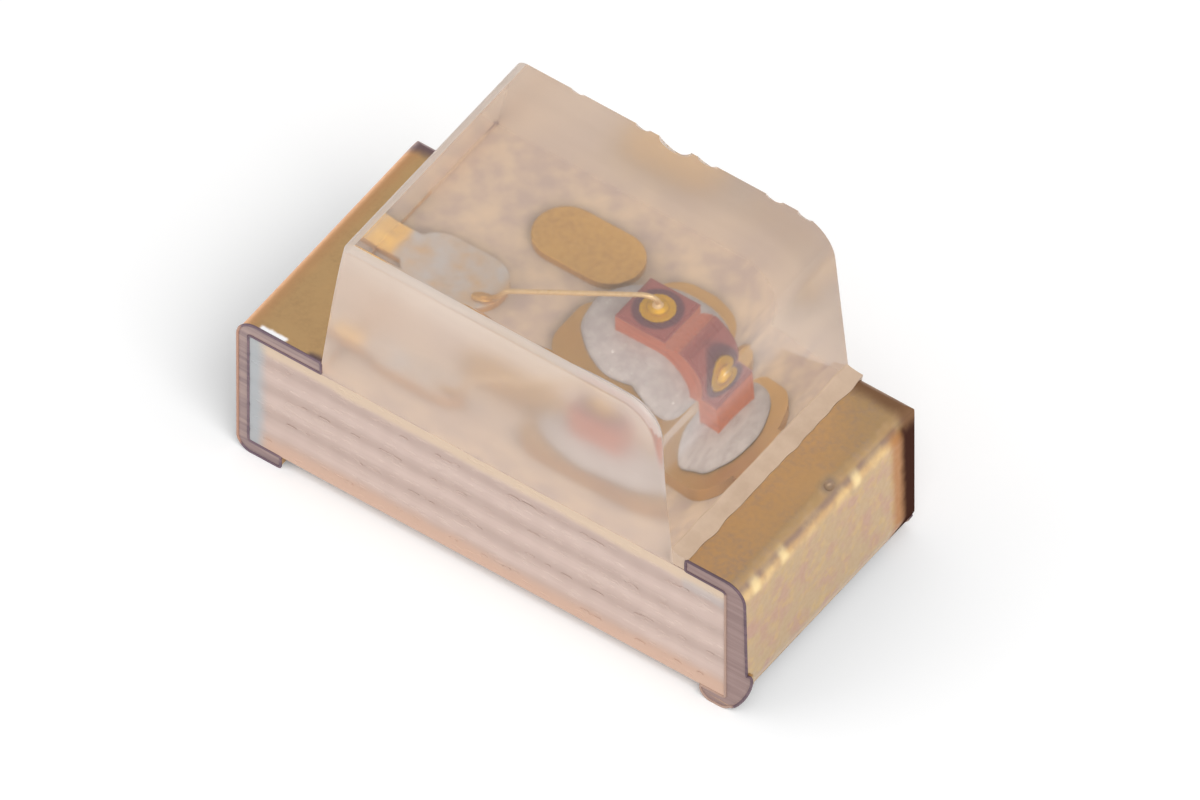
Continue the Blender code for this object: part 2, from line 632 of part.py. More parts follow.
def lens(parts, cutters):
    """The moulded epoxy, cast round everything on the board's top."""
    body = across("lens", lens_profile(), parts)
    boolean(body, copper_room(-1, LEFT_LAND_LENGTH, wire_pad_outlines(FIT), cutters), "DIFFERENCE", cutters)
    boolean(body, copper_room(1, RIGHT_LAND_LENGTH, die_pad_outlines(FIT), cutters), "DIFFERENCE", cutters)
    oval = stadium(OVAL_PAD_X, OVAL_PAD_Y, OVAL_PAD_LENGTH + 2 * FIT, OVAL_PAD_WIDTH + 2 * FIT)
    oval_room = extruded("oval_room", oval, CORE_TOP - OVERRUN, LAND_TOP + FIT, cutters)
    boolean(body, oval_room, "DIFFERENCE", cutters)
    boolean(body, pool_form("pool_room", cutters, FIT), "DIFFERENCE", cutters)
    boolean(body, die_form("die_room", cutters, FIT), "DIFFERENCE", cutters)
    boolean(body, electrode_form("electrode_room", cutters, FIT), "DIFFERENCE", cutters)
    boolean(body, wire_form("wire_room", cutters, cutters, FIT), "DIFFERENCE", cutters)
    chip_size = (CHIP_LENGTH, CHIP_WIDTH, 2 * CHIP_DEPTH)
    chip = ball("edge_chip", (CHIP_X, HALF_WIDTH, LENS_TOP), chip_size, cutters, tilt=CHIP_TILT)
    boolean(body, chip, "DIFFERENCE", cutters)
    return finished(body, finish("clear_epoxy", (0.92, 0.86, 0.8), 0.12, transmission=0.9, alpha=0.35))


def polarity_mark(parts):
    """Resist printed on the underside between the feet."""
    bar, head = MARK_BAR_WIDTH / 2, MARK_HEAD_WIDTH / 2
    start = MARK_BAR_LENGTH / 2
    outline = [Vector(spot) for spot in [(start, -bar), (start, bar), (-start, bar), (-start, head),
                                         (-start - MARK_HEAD_LENGTH, 0), (-start, -head), (-start, -bar)]]
    shift = Vector((MARK_HEAD_LENGTH / 2, 0))
    moved = [spot + shift for spot in outline]
    mark = extruded("polarity_mark", moved, CORE_BOTTOM - MARK_THICKNESS, CORE_BOTTOM, parts)
    return finished(mark, finish("printed_resist", (0.05, 0.22, 0.1), 0.5))


def main():
    """Build the whole part."""
    clear_scene()
    parts = new_collection("smd_led")
    cutters = new_collection("cutters")
    gold = finish("plated_gold", (0.7, 0.47, 0.2), 0.35, 1.0)
    edge = rolled_edge(cutters)
    substrate(parts)
    left_terminal(parts, cutters, edge, gold)
    right_terminal(parts, cutters, edge, gold.copy())
    oval_pad(parts, gold.copy())
    die_attach(parts, cutters)
    led_die(parts, cutters)
    finished(electrode_form("die_electrode", parts), gold.copy())
    finished(wire_form("bond_wire", parts, cutters), gold.copy())
    lens(parts, cutters)
    polarity_mark(parts)


main()
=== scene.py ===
"""How the chip LED looks: clear moulded resin over gold-plated copper, a red die and its bond wire.

Metres, +Z up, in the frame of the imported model. The camera, lamps and floor come last. Every texture reads
object coordinates that are first scaled to millimetres.
"""
import logging
import math
from collections.abc import Callable, Iterable
from dataclasses import dataclass
from enum import Enum
from functools import cached_property

import bmesh
import bpy
from mathutils import Matrix, Vector, noise


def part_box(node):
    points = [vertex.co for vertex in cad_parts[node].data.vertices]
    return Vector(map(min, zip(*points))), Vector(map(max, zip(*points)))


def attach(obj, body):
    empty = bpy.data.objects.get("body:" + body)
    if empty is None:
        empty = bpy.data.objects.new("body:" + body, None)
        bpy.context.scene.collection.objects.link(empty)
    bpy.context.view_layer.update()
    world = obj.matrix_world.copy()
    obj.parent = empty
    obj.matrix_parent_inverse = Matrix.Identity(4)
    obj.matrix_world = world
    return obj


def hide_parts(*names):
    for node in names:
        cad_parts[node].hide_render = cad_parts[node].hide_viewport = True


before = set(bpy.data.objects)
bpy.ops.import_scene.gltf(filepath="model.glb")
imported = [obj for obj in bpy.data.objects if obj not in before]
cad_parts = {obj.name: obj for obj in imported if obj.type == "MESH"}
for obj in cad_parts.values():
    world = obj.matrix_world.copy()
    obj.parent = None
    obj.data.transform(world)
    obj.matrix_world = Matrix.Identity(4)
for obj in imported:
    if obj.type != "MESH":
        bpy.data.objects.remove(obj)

MM = 0.001
UM = 0.001 * MM
PER_MM = 1000.0                 # scale from metres to millimetres, for texture coordinates
ROOT = "root"
NOISE_SEED = 7
WELD = 0.00001 * MM
FLAT = math.radians(0.6)        # triangles that meet at less than this are one face
BEND = math.radians(28)         # edges sharper than this are rounded
SMOOTH = math.radians(50)       # edges sharper than this stay sharp when shaded
NEAR = 0.0005 * MM              # how far a vertex of a sawn face may lie from its plane
FAR = 100.0                     # millimetres: further than any part of the object
ANYWHERE = (-FAR, FAR)

Colour = tuple[float, float, float]
Span = tuple[float, float]
Thing = bpy.types.Object
Shell = bmesh.types.BMesh
Socket = bpy.types.NodeSocket
Tree = bpy.types.NodeTree
Material = bpy.types.Material
Materials = dict[str, Material]
Turns = tuple[Colour, Colour]
Value = float | int | bool | tuple | Socket
Inputs = dict[str | int, Value]

log = logging.getLogger("smd_led")


class Axis(Enum):
    """Directions that a pattern runs in."""

    X = (1.0, 0.0, 0.0)
    Y = (0.0, 1.0, 0.0)
    Z = (0.0, 0.0, 1.0)


class Kind(Enum):
    """Types of the sockets that node groups open."""

    FLOAT = "NodeSocketFloat"
    WHOLE = "NodeSocketInt"
    VECTOR = "NodeSocketVector"
    MATERIAL = "NodeSocketMaterial"
    GEOMETRY = "NodeSocketGeometry"


class ResinSlot(Enum):
    """Material slots of the resin."""

    MOULDED = 0
    SAWN = 1
    WORN = 2


class GoldSlot(Enum):
    """Material slots of the bond wire."""

    WIRE = 0
    BALL = 1


class CopperSlot(Enum):
    """Material slots of a terminal."""

    PLATING = 0
    SECTION = 1


# ---- node trees


class Graph:
    """A node tree that is written one call at a time."""

    def __init__(self, tree: Tree) -> None:
        """Take the tree to write in."""
        self.tree = tree

    def add(self, kind: str, inputs: Inputs | None = None, **settings: object) -> bpy.types.Node:
        """Add a node.

        Args:
            kind: The node's type name.
            inputs: Values or sockets to feed its inputs with, by name or number.
            settings: Properties to set on the node first.

        Returns:
            The new node.
        """
        node = self.tree.nodes.new(kind)
        for name, value in settings.items():
            setattr(node, name, value)
        for key, value in (inputs or {}).items():
            self.feed(node.inputs[key], value)
        return node

    def feed(self, socket: Socket, value: Value) -> None:
        """Link an input to an output socket, or set it to a plain value.

        Args:
            socket: The input.
            value: The output socket or the value.
        """
        if isinstance(value, Socket):
            self.tree.links.new(value, socket)
        else:
            socket.default_value = value

    def math(self, operation: str, *values: Value, clamp: bool = False) -> Socket:
        """Work out a number with a Math node."""
        node = self.add("ShaderNodeMath", dict(enumerate(values)), operation=operation, use_clamp=clamp)
        return node.outputs[0]

    def vector(self, operation: str, *values: Value) -> Socket:
        """Work out a vector, or a number from vectors, with a Vector Math node."""
        node = self.add("ShaderNodeVectorMath", dict(enumerate(values)), operation=operation)
        return node.outputs["Value" if operation in ("DOT_PRODUCT", "DISTANCE") else "Vector"]

    def along(self, place: Socket, axis: Axis) -> Socket:
        """Take one part of a vector."""
        return self.vector("DOT_PRODUCT", place, axis.value)

    def noise(self, place: Socket, scale: Value, detail: float = 3.0, roughness: float = 0.5,
              stretch: Colour | None = None) -> Socket:
        """Make noise from 0 to 1.

        Args:
            place: Where, in millimetres.
            scale: Waves in a millimetre.
            detail: How many finer layers it has.
            roughness: Strength of the finer layers.
            stretch: Factors on the place before it is read.

        Returns:
            A number socket.
        """
        where = self.vector("MULTIPLY", place, stretch) if stretch else place
        values = {"Vector": where, "Scale": scale, "Detail": detail, "Roughness": roughness}
        return self.add("ShaderNodeTexNoise", values).outputs["Fac"]

    def between(self, value: Value, low: float, high: float, to_low: float = 0.0,
                to_high: float = 1.0) -> Socket:
        """Map a number smoothly from the span low to high to the span to_low to to_high."""
        values = {"Value": value, "From Min": low, "From Max": high, "To Min": to_low, "To Max": to_high}
        return self.add("ShaderNodeMapRange", values, interpolation_type="SMOOTHSTEP").outputs["Result"]

    def blend(self, share: Value, first: Value, second: Value) -> Socket:
        """Mix two colours.

        Args:
            share: How much of the second.
            first: A colour of three numbers, or a socket.
            second: The same.

        Returns:
            A colour socket.
        """
        first, second = ((*side, 1.0) if isinstance(side, tuple) else side for side in (first, second))
        return self.add("ShaderNodeMix", {0: share, 6: first, 7: second}, data_type="RGBA").outputs[2]

    def bump(self, height: Value, distance: float) -> Socket:
        """Turn a height from 0 to 1 into a normal; a height of 1 measures the distance in metres."""
        return self.add("ShaderNodeBump", {"Height": height, "Distance": distance}).outputs["Normal"]


class Group(Graph):
    """A shader group with named inputs and outputs."""

    tree_type = "ShaderNodeTree"

    def __init__(self, name: str, inputs: dict[str, Kind]) -> None:
        """Start the group.

        Args:
            name: Its name.
            inputs: Kind of each named input.
        """
        super().__init__(bpy.data.node_groups.new(name, self.tree_type))
        self.keys = {key: self.open(key, kind, "INPUT") for key, kind in inputs.items()}
        self.source = self.add("NodeGroupInput").outputs

    def open(self, name: str, kind: Kind, side: str) -> str:
        """Open a socket and give its identifier."""
        return self.tree.interface.new_socket(name, in_out=side, socket_type=kind.value).identifier

    def end(self, kind: Kind, **results: Socket) -> Tree:
        """Close the group.

        Args:
            kind: Kind of its outputs.
            results: What it gives out, by name.

        Returns:
            Its tree.
        """
        for name in results:
            self.open(name, kind, "OUTPUT")
        self.add("NodeGroupOutput", results)
        return self.tree


def grain_group() -> Tree:
    """Make the shader group for fine grain over slow blotches.

    Returns:
        The group, with the outputs Blotch, Grain and Height.
    """
    group = Group("grain", {"Place": Kind.VECTOR, "Grain Scale": Kind.FLOAT, "Blotch Scale": Kind.FLOAT})
    place, grain_scale, blotch_scale = (group.source[key] for key in ("Place", "Grain Scale", "Blotch Scale"))
    blotch = group.noise(place, blotch_scale, detail=4.0, roughness=0.6)
    fine = group.noise(place, grain_scale)
    height = group.math("MULTIPLY_ADD", blotch, 0.5, fine)
    return group.end(Kind.FLOAT, Blotch=group.between(blotch, 0.3, 0.7), Grain=group.between(fine, 0.25, 0.75),
                     Height=height)


def saw_group() -> Tree:
    """Make the shader group for the marks that the dicing saw leaves along X.

    Returns:
        The group, with the outputs Streak and Height.
    """
    group = Group("saw_marks", {"Place": Kind.VECTOR, "Scale": Kind.FLOAT})
    place, scale = group.source["Place"], group.source["Scale"]
    wide = group.noise(place, scale, roughness=0.6, stretch=(0.06, 1.0, 1.0))
    frost = group.noise(place, scale, detail=2.0, stretch=(3.0, 3.0, 3.0))
    height = group.math("MULTIPLY_ADD", frost, 0.6, wide)
    return group.end(Kind.FLOAT, Streak=group.between(wide, 0.3, 0.7), Height=height)


def patch_group() -> Tree:
    """Make the shader group for a stretch of a surface with soft, wandering edges.

    Returns:
        The group, with the output Mask.
    """
    vectors, floats = ("Place", "Low", "High"), ("Soft", "Wander", "Scale", "Broken", "Share")
    group = Group("patch", dict.fromkeys(vectors, Kind.VECTOR) | dict.fromkeys(floats, Kind.FLOAT))
    source, place, scale = group.source, group.source["Place"], group.source["Scale"]
    finer, tear = 1.7, 0.11
    wave = group.math("MULTIPLY_ADD", group.noise(place, scale), 2.0, -1.0)
    drift = group.math("MULTIPLY", wave, source["Wander"])
    holes = group.math("SUBTRACT", group.noise(place, group.math("MULTIPLY", scale, finer)), source["Broken"])
    mask = group.math("MULTIPLY", source["Share"], group.between(holes, -tear, tear))
    for axis in Axis:
        where = group.math("ADD", group.along(place, axis), drift)
        above = group.math("SUBTRACT", where, group.along(source["Low"], axis))
        below = group.math("SUBTRACT", group.along(source["High"], axis), where)
        for depth in (above, below):
            share = group.between(group.math("DIVIDE", depth, source["Soft"]), -1.0, 1.0)
            mask = group.math("MULTIPLY", mask, share)
    return group.end(Kind.FLOAT, Mask=mask)


def plies_group() -> Tree:
    """Make the shader group for glass cloth: plies and yarn ends on a sawn face, weave on the top.

    Returns:
        The group, with the outputs Glass and Cloth.
    """
    floats = dict.fromkeys(("Light Ply", "Ply Height", "Yarn"), Kind.FLOAT)
    group = Group("plies", {"Place": Kind.VECTOR} | floats)
    source, place = group.source, group.source["Place"]
    sway_width, ply_share, yarn_share, cloth_scale = 0.03, 0.42, 0.05, 12.0
    wave = group.math("DIVIDE", 2 * math.pi, source["Yarn"])
    drift = group.noise(place, 5.0, stretch=(1.0, 1.0, 0.2))
    sway = group.math("MULTIPLY_ADD", drift, sway_width, -sway_width / 2)
    turn = group.math("SUBTRACT", group.math("ADD", group.along(place, Axis.Z), sway), source["Light Ply"])
    turns = group.math("DIVIDE", group.math("MULTIPLY", turn, 2 * math.pi), source["Ply Height"])
    band = group.math("COSINE", turns)
    warp = group.math("SINE", group.math("MULTIPLY", group.along(place, Axis.X), wave))
    weft = group.math("SINE", group.math("MULTIPLY", group.along(place, Axis.Y), wave))
    yarns = group.math("MULTIPLY_ADD", warp, yarn_share, 0.5)
    share = group.math("MULTIPLY_ADD", band, ply_share, yarns, clamp=True)
    weave = group.math("MULTIPLY", warp, weft)
    cloth = group.math("MULTIPLY_ADD", weave, yarn_share, group.noise(place, cloth_scale))
    return group.end(Kind.FLOAT, Glass=share, Cloth=group.between(cloth, 0.2, 0.8))


# ---- finishes


@dataclass(frozen=True)
class Groups:
    """The shader groups that finishes share."""

    grain: Tree
    saw: Tree
    patch: Tree
    plies: Tree


@dataclass(frozen=True)
class Patch:
    """A stretch of a surface with another colour and soft, wandering edges: some are real marks, some are painted
    highlights and painted shade; places are in millimetres.
    """

    colour: Colour
    x: Span = ANYWHERE
    y: Span = ANYWHERE
    z: Span = ANYWHERE
    soft: float = 0.01
    wander: float = 0.01
    scale: float = 25.0
    broken: float = 0.0
    share: float = 1.0
    metallic: float = 1.0

    def inputs(self) -> dict[str, Value]:
        """Give the patch group's inputs.

        Returns:
            Their values by name.
        """
        low, high = zip(self.x, self.y, self.z)
        return {"Low": low, "High": high, "Soft": self.soft, "Wander": self.wander, "Scale": self.scale,
                "Broken": self.broken, "Share": self.share}


class Skin(Graph):
    """A material that is being written."""

    def __init__(self, name: str, groups: Groups) -> None:
        """Make the material.

        Args:
            name: Its name.
            groups: The shared shader groups.
        """
        self.material = bpy.data.materials.new(name)
        self.material.use_nodes = True
        super().__init__(self.material.node_tree)
        self.groups = groups
        self.shader = self.tree.nodes["Principled BSDF"]

    @cached_property
    def place(self) -> Socket:
        """The place on the surface in millimetres."""
        coordinates = self.add("ShaderNodeTexCoord").outputs["Object"]
        return self.vector("MULTIPLY", coordinates, (PER_MM, PER_MM, PER_MM))

    def marks(self, tree: Tree, inputs: dict[str, Value]) -> bpy.types.bpy_prop_collection:
        """Place a shared group and give its outputs."""
        return self.add("ShaderNodeGroup", {"Place": self.place} | inputs, node_tree=tree).outputs

    def grain(self, fine: float, blotch: float) -> bpy.types.bpy_prop_collection:
        """Give grain and blotches of these scales, in waves in a millimetre."""
        return self.marks(self.groups.grain, {"Grain Scale": fine, "Blotch Scale": blotch})

    def saw(self, scale: float) -> bpy.types.bpy_prop_collection:
        """Give saw marks of this scale, in waves in a millimetre."""
        return self.marks(self.groups.saw, {"Scale": scale})

    def cover(self, colour: Value, patches: tuple[Patch, ...]) -> tuple[Value, list[Socket]]:
        """Lay patches over a colour.

        Args:
            colour: The colour under them.
            patches: The patches in order.

        Returns:
            The colour and each patch's mask.
        """
        masks = [self.marks(self.groups.patch, patch.inputs())["Mask"] for patch in patches]
        for patch, mask in zip(patches, masks):
            colour = self.blend(mask, colour, patch.colour)
        return colour, masks

    def set(self, inputs: dict[str, Value]) -> None:
        """Set or link the shader's own sockets."""
        for key, value in inputs.items():
            self.feed(self.shader.inputs[key], value)

    def coat(self, colour: Value, mask: Socket, roughness: Span, height: Socket, relief: float) -> None:
        """Set colour, roughness and relief.

        Args:
            colour: The colour.
            mask: Where it is rougher, from 0 to 1.
            roughness: The least roughness, and how much the mask adds.
            height: Height from 0 to 1.
            relief: What a height of 1 measures, in metres.
        """
        rough = self.math("MULTIPLY_ADD", mask, roughness[1], roughness[0])
        self.set({"Base Color": colour, "Roughness": rough, "Normal": self.bump(height, relief)})

    def show(self, surface: Socket) -> None:
        """Give the material another surface than the shader alone."""
        self.feed(self.tree.nodes["Material Output"].inputs["Surface"], surface)


@dataclass(frozen=True)
class Finish:
    """Base of the finishes: a material whose graph the subclass writes."""

    name: str

    def material(self, groups: Groups) -> Material:
        """Make the material.

        Args:
            groups: The shared shader groups.

        Returns:
            The material.
        """
        skin = Skin(self.name, groups)
        self.write(skin)
        return skin.material

    def write(self, skin: Skin) -> None:
        """Write the graph."""
        raise NotImplementedError


@dataclass(frozen=True)
class ResinFinish(Finish):
    """Clear moulding epoxy, or the same epoxy frosted by the saw."""

    tint: Colour
    haze: Colour
    roughness: Span
    clearness: float
    lets_light: Colour
    relief: float
    is_sawn: bool
    ior: float = 1.53
    saw_scale: float = 11.0
    fine: float = 260.0
    blotch: float = 6.0

    def write(self, skin: Skin) -> None:
        """Write the graph, which lets light through to what the resin covers.

        Args:
            skin: The material.
        """
        marks = skin.saw(self.saw_scale) if self.is_sawn else skin.grain(self.fine, self.blotch)
        mask = marks["Streak" if self.is_sawn else "Grain"]
        skin.coat(skin.blend(mask, self.tint, self.haze), mask, self.roughness, marks["Height"], self.relief)
        skin.set({"Transmission Weight": self.clearness, "IOR": self.ior})
        path = skin.add("ShaderNodeLightPath").outputs
        clear = skin.add("ShaderNodeBsdfTransparent", {"Color": (*self.lets_light, 1.0)}).outputs[0]
        lit = skin.shader.outputs[0]
        for ray in ("Is Shadow Ray", "Is Diffuse Ray"):
            lit = skin.add("ShaderNodeMixShader", {0: path[ray], 1: lit, 2: clear}).outputs[0]
        skin.show(lit)


@dataclass(frozen=True)
class GrainFinish(Finish):
    """Two colours in blotches under fine grain: scuffed thin resin, silver epoxy and flakes, printed resist."""

    colour: Colour
    dark: Colour
    fine: float
    blotch: float
    roughness: Span
    relief: float
    metallic: float = 0.0

    def write(self, skin: Skin) -> None:
        """Write the graph.

        Args:
            skin: The material.
        """
        marks = skin.grain(self.fine, self.blotch)
        colour = skin.blend(marks["Blotch"], self.colour, self.dark)
        skin.coat(colour, marks["Grain"], self.roughness, marks["Height"], self.relief)
        skin.set({"Metallic": self.metallic})


@dataclass(frozen=True)
class PlatingFinish(Finish):
    """Thin gold over nickel and copper, a little stained, under patches of which some are painted highlights and
    painted shade.
    """

    colour: Colour
    stain: Colour
    roughness: Span
    fine: float
    relief: float
    patches: tuple[Patch, ...] = ()
    blotch: float = 9.0

    def write(self, skin: Skin) -> None:
        """Write the graph.

        Args:
            skin: The material.
        """
        marks = skin.grain(self.fine, self.blotch)
        share = skin.math("MULTIPLY", marks["Blotch"], marks["Grain"])
        colour, masks = skin.cover(skin.blend(share, self.colour, self.stain), self.patches)
        metal: Value = 1.0
        for patch, mask in zip(self.patches, masks):
            if patch.metallic < 1.0:
                rest = skin.math("MULTIPLY", metal, skin.math("SUBTRACT", 1.0, mask))
                metal = skin.math("MULTIPLY_ADD", mask, patch.metallic, rest)
        skin.coat(colour, marks["Grain"], self.roughness, marks["Height"], self.relief)
        skin.set({"Metallic": metal, "Specular IOR Level": 0.0})


@dataclass(frozen=True)
class SectionFinish(Finish):
    """Copper and plating where the saw cut through them."""

    colour: Colour
    dark: Colour
    patches: tuple[Patch, ...] = ()
    metallic: float = 0.2
    roughness: Span = (0.4, 0.2)
    saw_scale: float = 60.0
    relief: float = 1.2 * UM

    def write(self, skin: Skin) -> None:
        """Write the graph.

        Args:
            skin: The material.
        """
        marks = skin.saw(self.saw_scale)
        colour, _ = skin.cover(skin.blend(marks["Streak"], self.colour, self.dark), self.patches)
        skin.coat(colour, marks["Streak"], self.roughness, marks["Height"], self.relief)
        skin.set({"Metallic": self.metallic})


@dataclass(frozen=True)
class LaminateFinish(Finish):
    """Glass cloth in yellowish resin: plies and yarns on the sawn faces, a faint weave on the top."""

    resin: Colour
    glass: Colour
    top: Colour
    light_ply: float
    top_level: float
    patches: tuple[Patch, ...]
    ply_height: float = 0.1005
    yarn: float = 0.08
    saw_scale: float = 70.0
    wear: Span = (1.15, -0.3)
    glass_rise: float = 0.8
    top_fade: Span = (-0.004, -0.001)
    roughness: Span = (0.5, 0.2)
    relief: float = 0.4 * UM

    def write(self, skin: Skin) -> None:
        """Write the graph.

        Args:
            skin: The material.
        """
        cloth = skin.marks(skin.groups.plies, {"Light Ply": self.light_ply, "Ply Height": self.ply_height,
                                               "Yarn": self.yarn})
        marks = skin.saw(self.saw_scale)
        worn = skin.math("MULTIPLY_ADD", marks["Streak"], self.wear[1], self.wear[0])
        share = skin.math("MULTIPLY", cloth["Glass"], worn)
        sides, _ = skin.cover(skin.blend(share, self.resin, self.glass), self.patches)
        above = skin.blend(cloth["Cloth"], self.top, self.resin)
        fade = (self.top_level + step for step in self.top_fade)
        is_top = skin.between(skin.along(skin.place, Axis.Z), *fade)
        height = skin.math("MULTIPLY_ADD", share, self.glass_rise, marks["Height"])
        skin.coat(skin.blend(is_top, sides, above), marks["Streak"], self.roughness, height, self.relief)


@dataclass(frozen=True)
class DieFinish(Finish):
    """The crystal: a dark grown layer on top and orange-red sawn sides."""

    side: Colour
    side_dark: Colour
    top: Colour
    ring: Colour
    centre: Colour
    ring_radius: float
    top_level: float
    ring_fade: float = 0.012
    grown: Span = (-0.022, -0.008)
    saw_scale: float = 110.0
    roughness: Span = (0.25, 0.2)
    relief: float = 1.0 * UM

    def write(self, skin: Skin) -> None:
        """Write the graph.

        Args:
            skin: The material.
        """
        marks = skin.saw(self.saw_scale)
        sides = skin.blend(marks["Streak"], self.side, self.side_dark)
        away = skin.vector("DISTANCE", skin.vector("MULTIPLY", skin.place, (1.0, 1.0, 0.0)), self.centre)
        ring = skin.between(away, self.ring_radius, self.ring_radius + self.ring_fade, 1.0, 0.0)
        fade = (self.top_level + step for step in self.grown)
        grown = skin.between(skin.along(skin.place, Axis.Z), *fade)
        colour = skin.blend(grown, sides, skin.blend(ring, self.top, self.ring))
        skin.coat(colour, marks["Streak"], self.roughness, marks["Height"], self.relief)


@dataclass(frozen=True)
class FloorFinish(Finish):
    """White paper that stays white in the picture and keeps the object's shadow."""

    colour: Colour
    lift: float

    def write(self, skin: Skin) -> None:
        """Write the graph.

        Args:
            skin: The material.
        """
        skin.set({"Base Color": (*self.colour, 1.0), "Roughness": 1.0, "Specular IOR Level": 0.0})
        path = skin.add("ShaderNodeLightPath").outputs
        seen = skin.math("ADD", path["Is Camera Ray"], path["Is Glossy Ray"])
        seen = skin.math("ADD", seen, path["Is Transmission Ray"], clamp=True)
        glow = skin.add("ShaderNodeEmission", {"Strength": skin.math("MULTIPLY", seen, self.lift)})
        skin.show(skin.add("ShaderNodeAddShader", {0: skin.shader.outputs[0], 1: glow.outputs[0]}).outputs[0])


# ---- meshes


def put(data: bpy.types.ID, name: str) -> Thing:
    """Put a mesh, camera or light in the scene.

    Args:
        data: The mesh, camera or light.
        name: Name of the object.

    Returns:
        The object.
    """
    thing = bpy.data.objects.new(name, data)
    bpy.context.scene.collection.objects.link(thing)
    return thing


def drawn(name: str, points: Iterable[Iterable[float]], edges: Iterable = (), faces: Iterable = ()) -> Thing:
    """Make an object from points and the edges or faces between them.

    Args:
        name: Name of the object.
        points: The points.
        edges: Numbers of each edge's points.
        faces: Numbers of each face's points.

    Returns:
        The object.
    """
    mesh = bpy.data.meshes.new(name)
    mesh.from_pydata([tuple(point) for point in points], list(edges), list(faces))
    return put(mesh, name)


def cast(shell: Shell, name: str) -> Thing:
    """Make an object from a closed shell.

    Args:
        shell: The shell, which is freed.
        name: Name of the object.

    Returns:
        The object, with its faces turned outwards.
    """
    bmesh.ops.recalc_face_normals(shell, faces=shell.faces)
    mesh = bpy.data.meshes.new(name)
    shell.to_mesh(mesh)
    shell.free()
    return put(mesh, name)


def bridge(shell: Shell, first: list[bmesh.types.BMVert], second: list[bmesh.types.BMVert]) -> None:
    """Join two rings of vertices with faces.

    Args:
        shell: The shell they are in.
        first: One ring.
        second: The other, with as many vertices.
    """
    for number, vertex in enumerate(first):
        after = (number + 1) % len(first)
        shell.faces.new((vertex, first[after], second[after], second[number]))


def baked(thing: Thing) -> Thing:
    """Apply an object's modifiers.

    Args:
        thing: The object.

    Returns:
        The same object, with the evaluated mesh and no modifier.
    """
    bpy.context.view_layer.update()
    graph = bpy.context.evaluated_depsgraph_get()
    mesh = bpy.data.meshes.new_from_object(thing.evaluated_get(graph), depsgraph=graph)
    thing.modifiers.clear()
    old, thing.data = thing.data, mesh
    bpy.data.meshes.remove(old)
    return thing


def merged_copy(node: str, name: str) -> Thing:
    """Copy a CAD node and weld its loose triangles into flat faces.

    Args:
        node: The CAD node.
        name: Name of the copy.

    Returns:
        The copy.
    """
    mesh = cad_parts[node].data.copy()
    mesh.name = name
    shell = bmesh.new()
    shell.from_mesh(mesh)
    bmesh.ops.remove_doubles(shell, verts=shell.verts, dist=WELD)
    bmesh.ops.dissolve_limit(shell, angle_limit=FLAT, verts=shell.verts, edges=shell.edges)
    bmesh.ops.recalc_face_normals(shell, faces=shell.faces)
    shell.to_mesh(mesh)
    shell.free()
    mesh.materials.clear()
    for key in list(mesh.attributes.keys()):
        if key.startswith("custom_normal"):
            mesh.attributes.remove(mesh.attributes[key])
    return put(mesh, name)


def softened(thing: Thing, width: float) -> Thing:
    """Round every sharp edge a little and shade the rest smooth.

    Args:
        thing: The object.
        width: How wide the rounded edge is.

    Returns:
        The object, with the rounding applied.
    """
    step = thing.modifiers.new("soft_edges", "BEVEL")
    step.width, step.segments, step.limit_method, step.angle_limit = width, 2, "ANGLE", BEND
    return shaded(baked(thing))


def shaded(thing: Thing, angle: float = SMOOTH) -> Thing:
    """Shade an object smooth and keep its large flat faces flat.

    Args:
        thing: The object.
        angle: Edges sharper than this stay sharp.

    Returns:
        The object, with normals of its own.
    """
    mesh = thing.data
    mesh.shade_smooth()
    around: list[list[tuple[Vector, float]]] = [[] for _ in mesh.vertices]
    for face in mesh.polygons:
        weight = (face.area / MM / MM) ** 2
        for vertex in face.vertices:
            around[vertex].append((face.normal.copy(), weight))
    least = math.cos(angle)
    normals = []
    for face in mesh.polygons:
        for vertex in face.vertices:
            near = (normal * weight for normal, weight in around[vertex] if normal.dot(face.normal) > least)
            total = sum(near, Vector((0, 0, 0)))
            normals.append(total.normalized() if total.length > 0 else face.normal.copy())
    mesh.normals_split_custom_set(normals)
    return thing


def slots_by_face(thing: Thing, choose: Callable[[bpy.types.MeshPolygon], Enum]) -> None:
    """Give each face of an object the material slot that the function chooses for it."""
    for face in thing.data.polygons:
        face.material_index = choose(face).value


def dress(thing: Thing, slot: str, *materials: Material) -> Thing:
    """Give a piece its body and its materials.

    Args:
        thing: The piece.
        slot: Name of a material slot; not used.
        materials: The materials in slot order; a grown piece has its own and gets none here.

    Returns:
        The piece.
    """
    if materials:
        thing.data.materials.clear()
    for material in materials:
        thing.data.materials.append(material)
    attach(thing, ROOT)
    return thing


# ---- geometry nodes


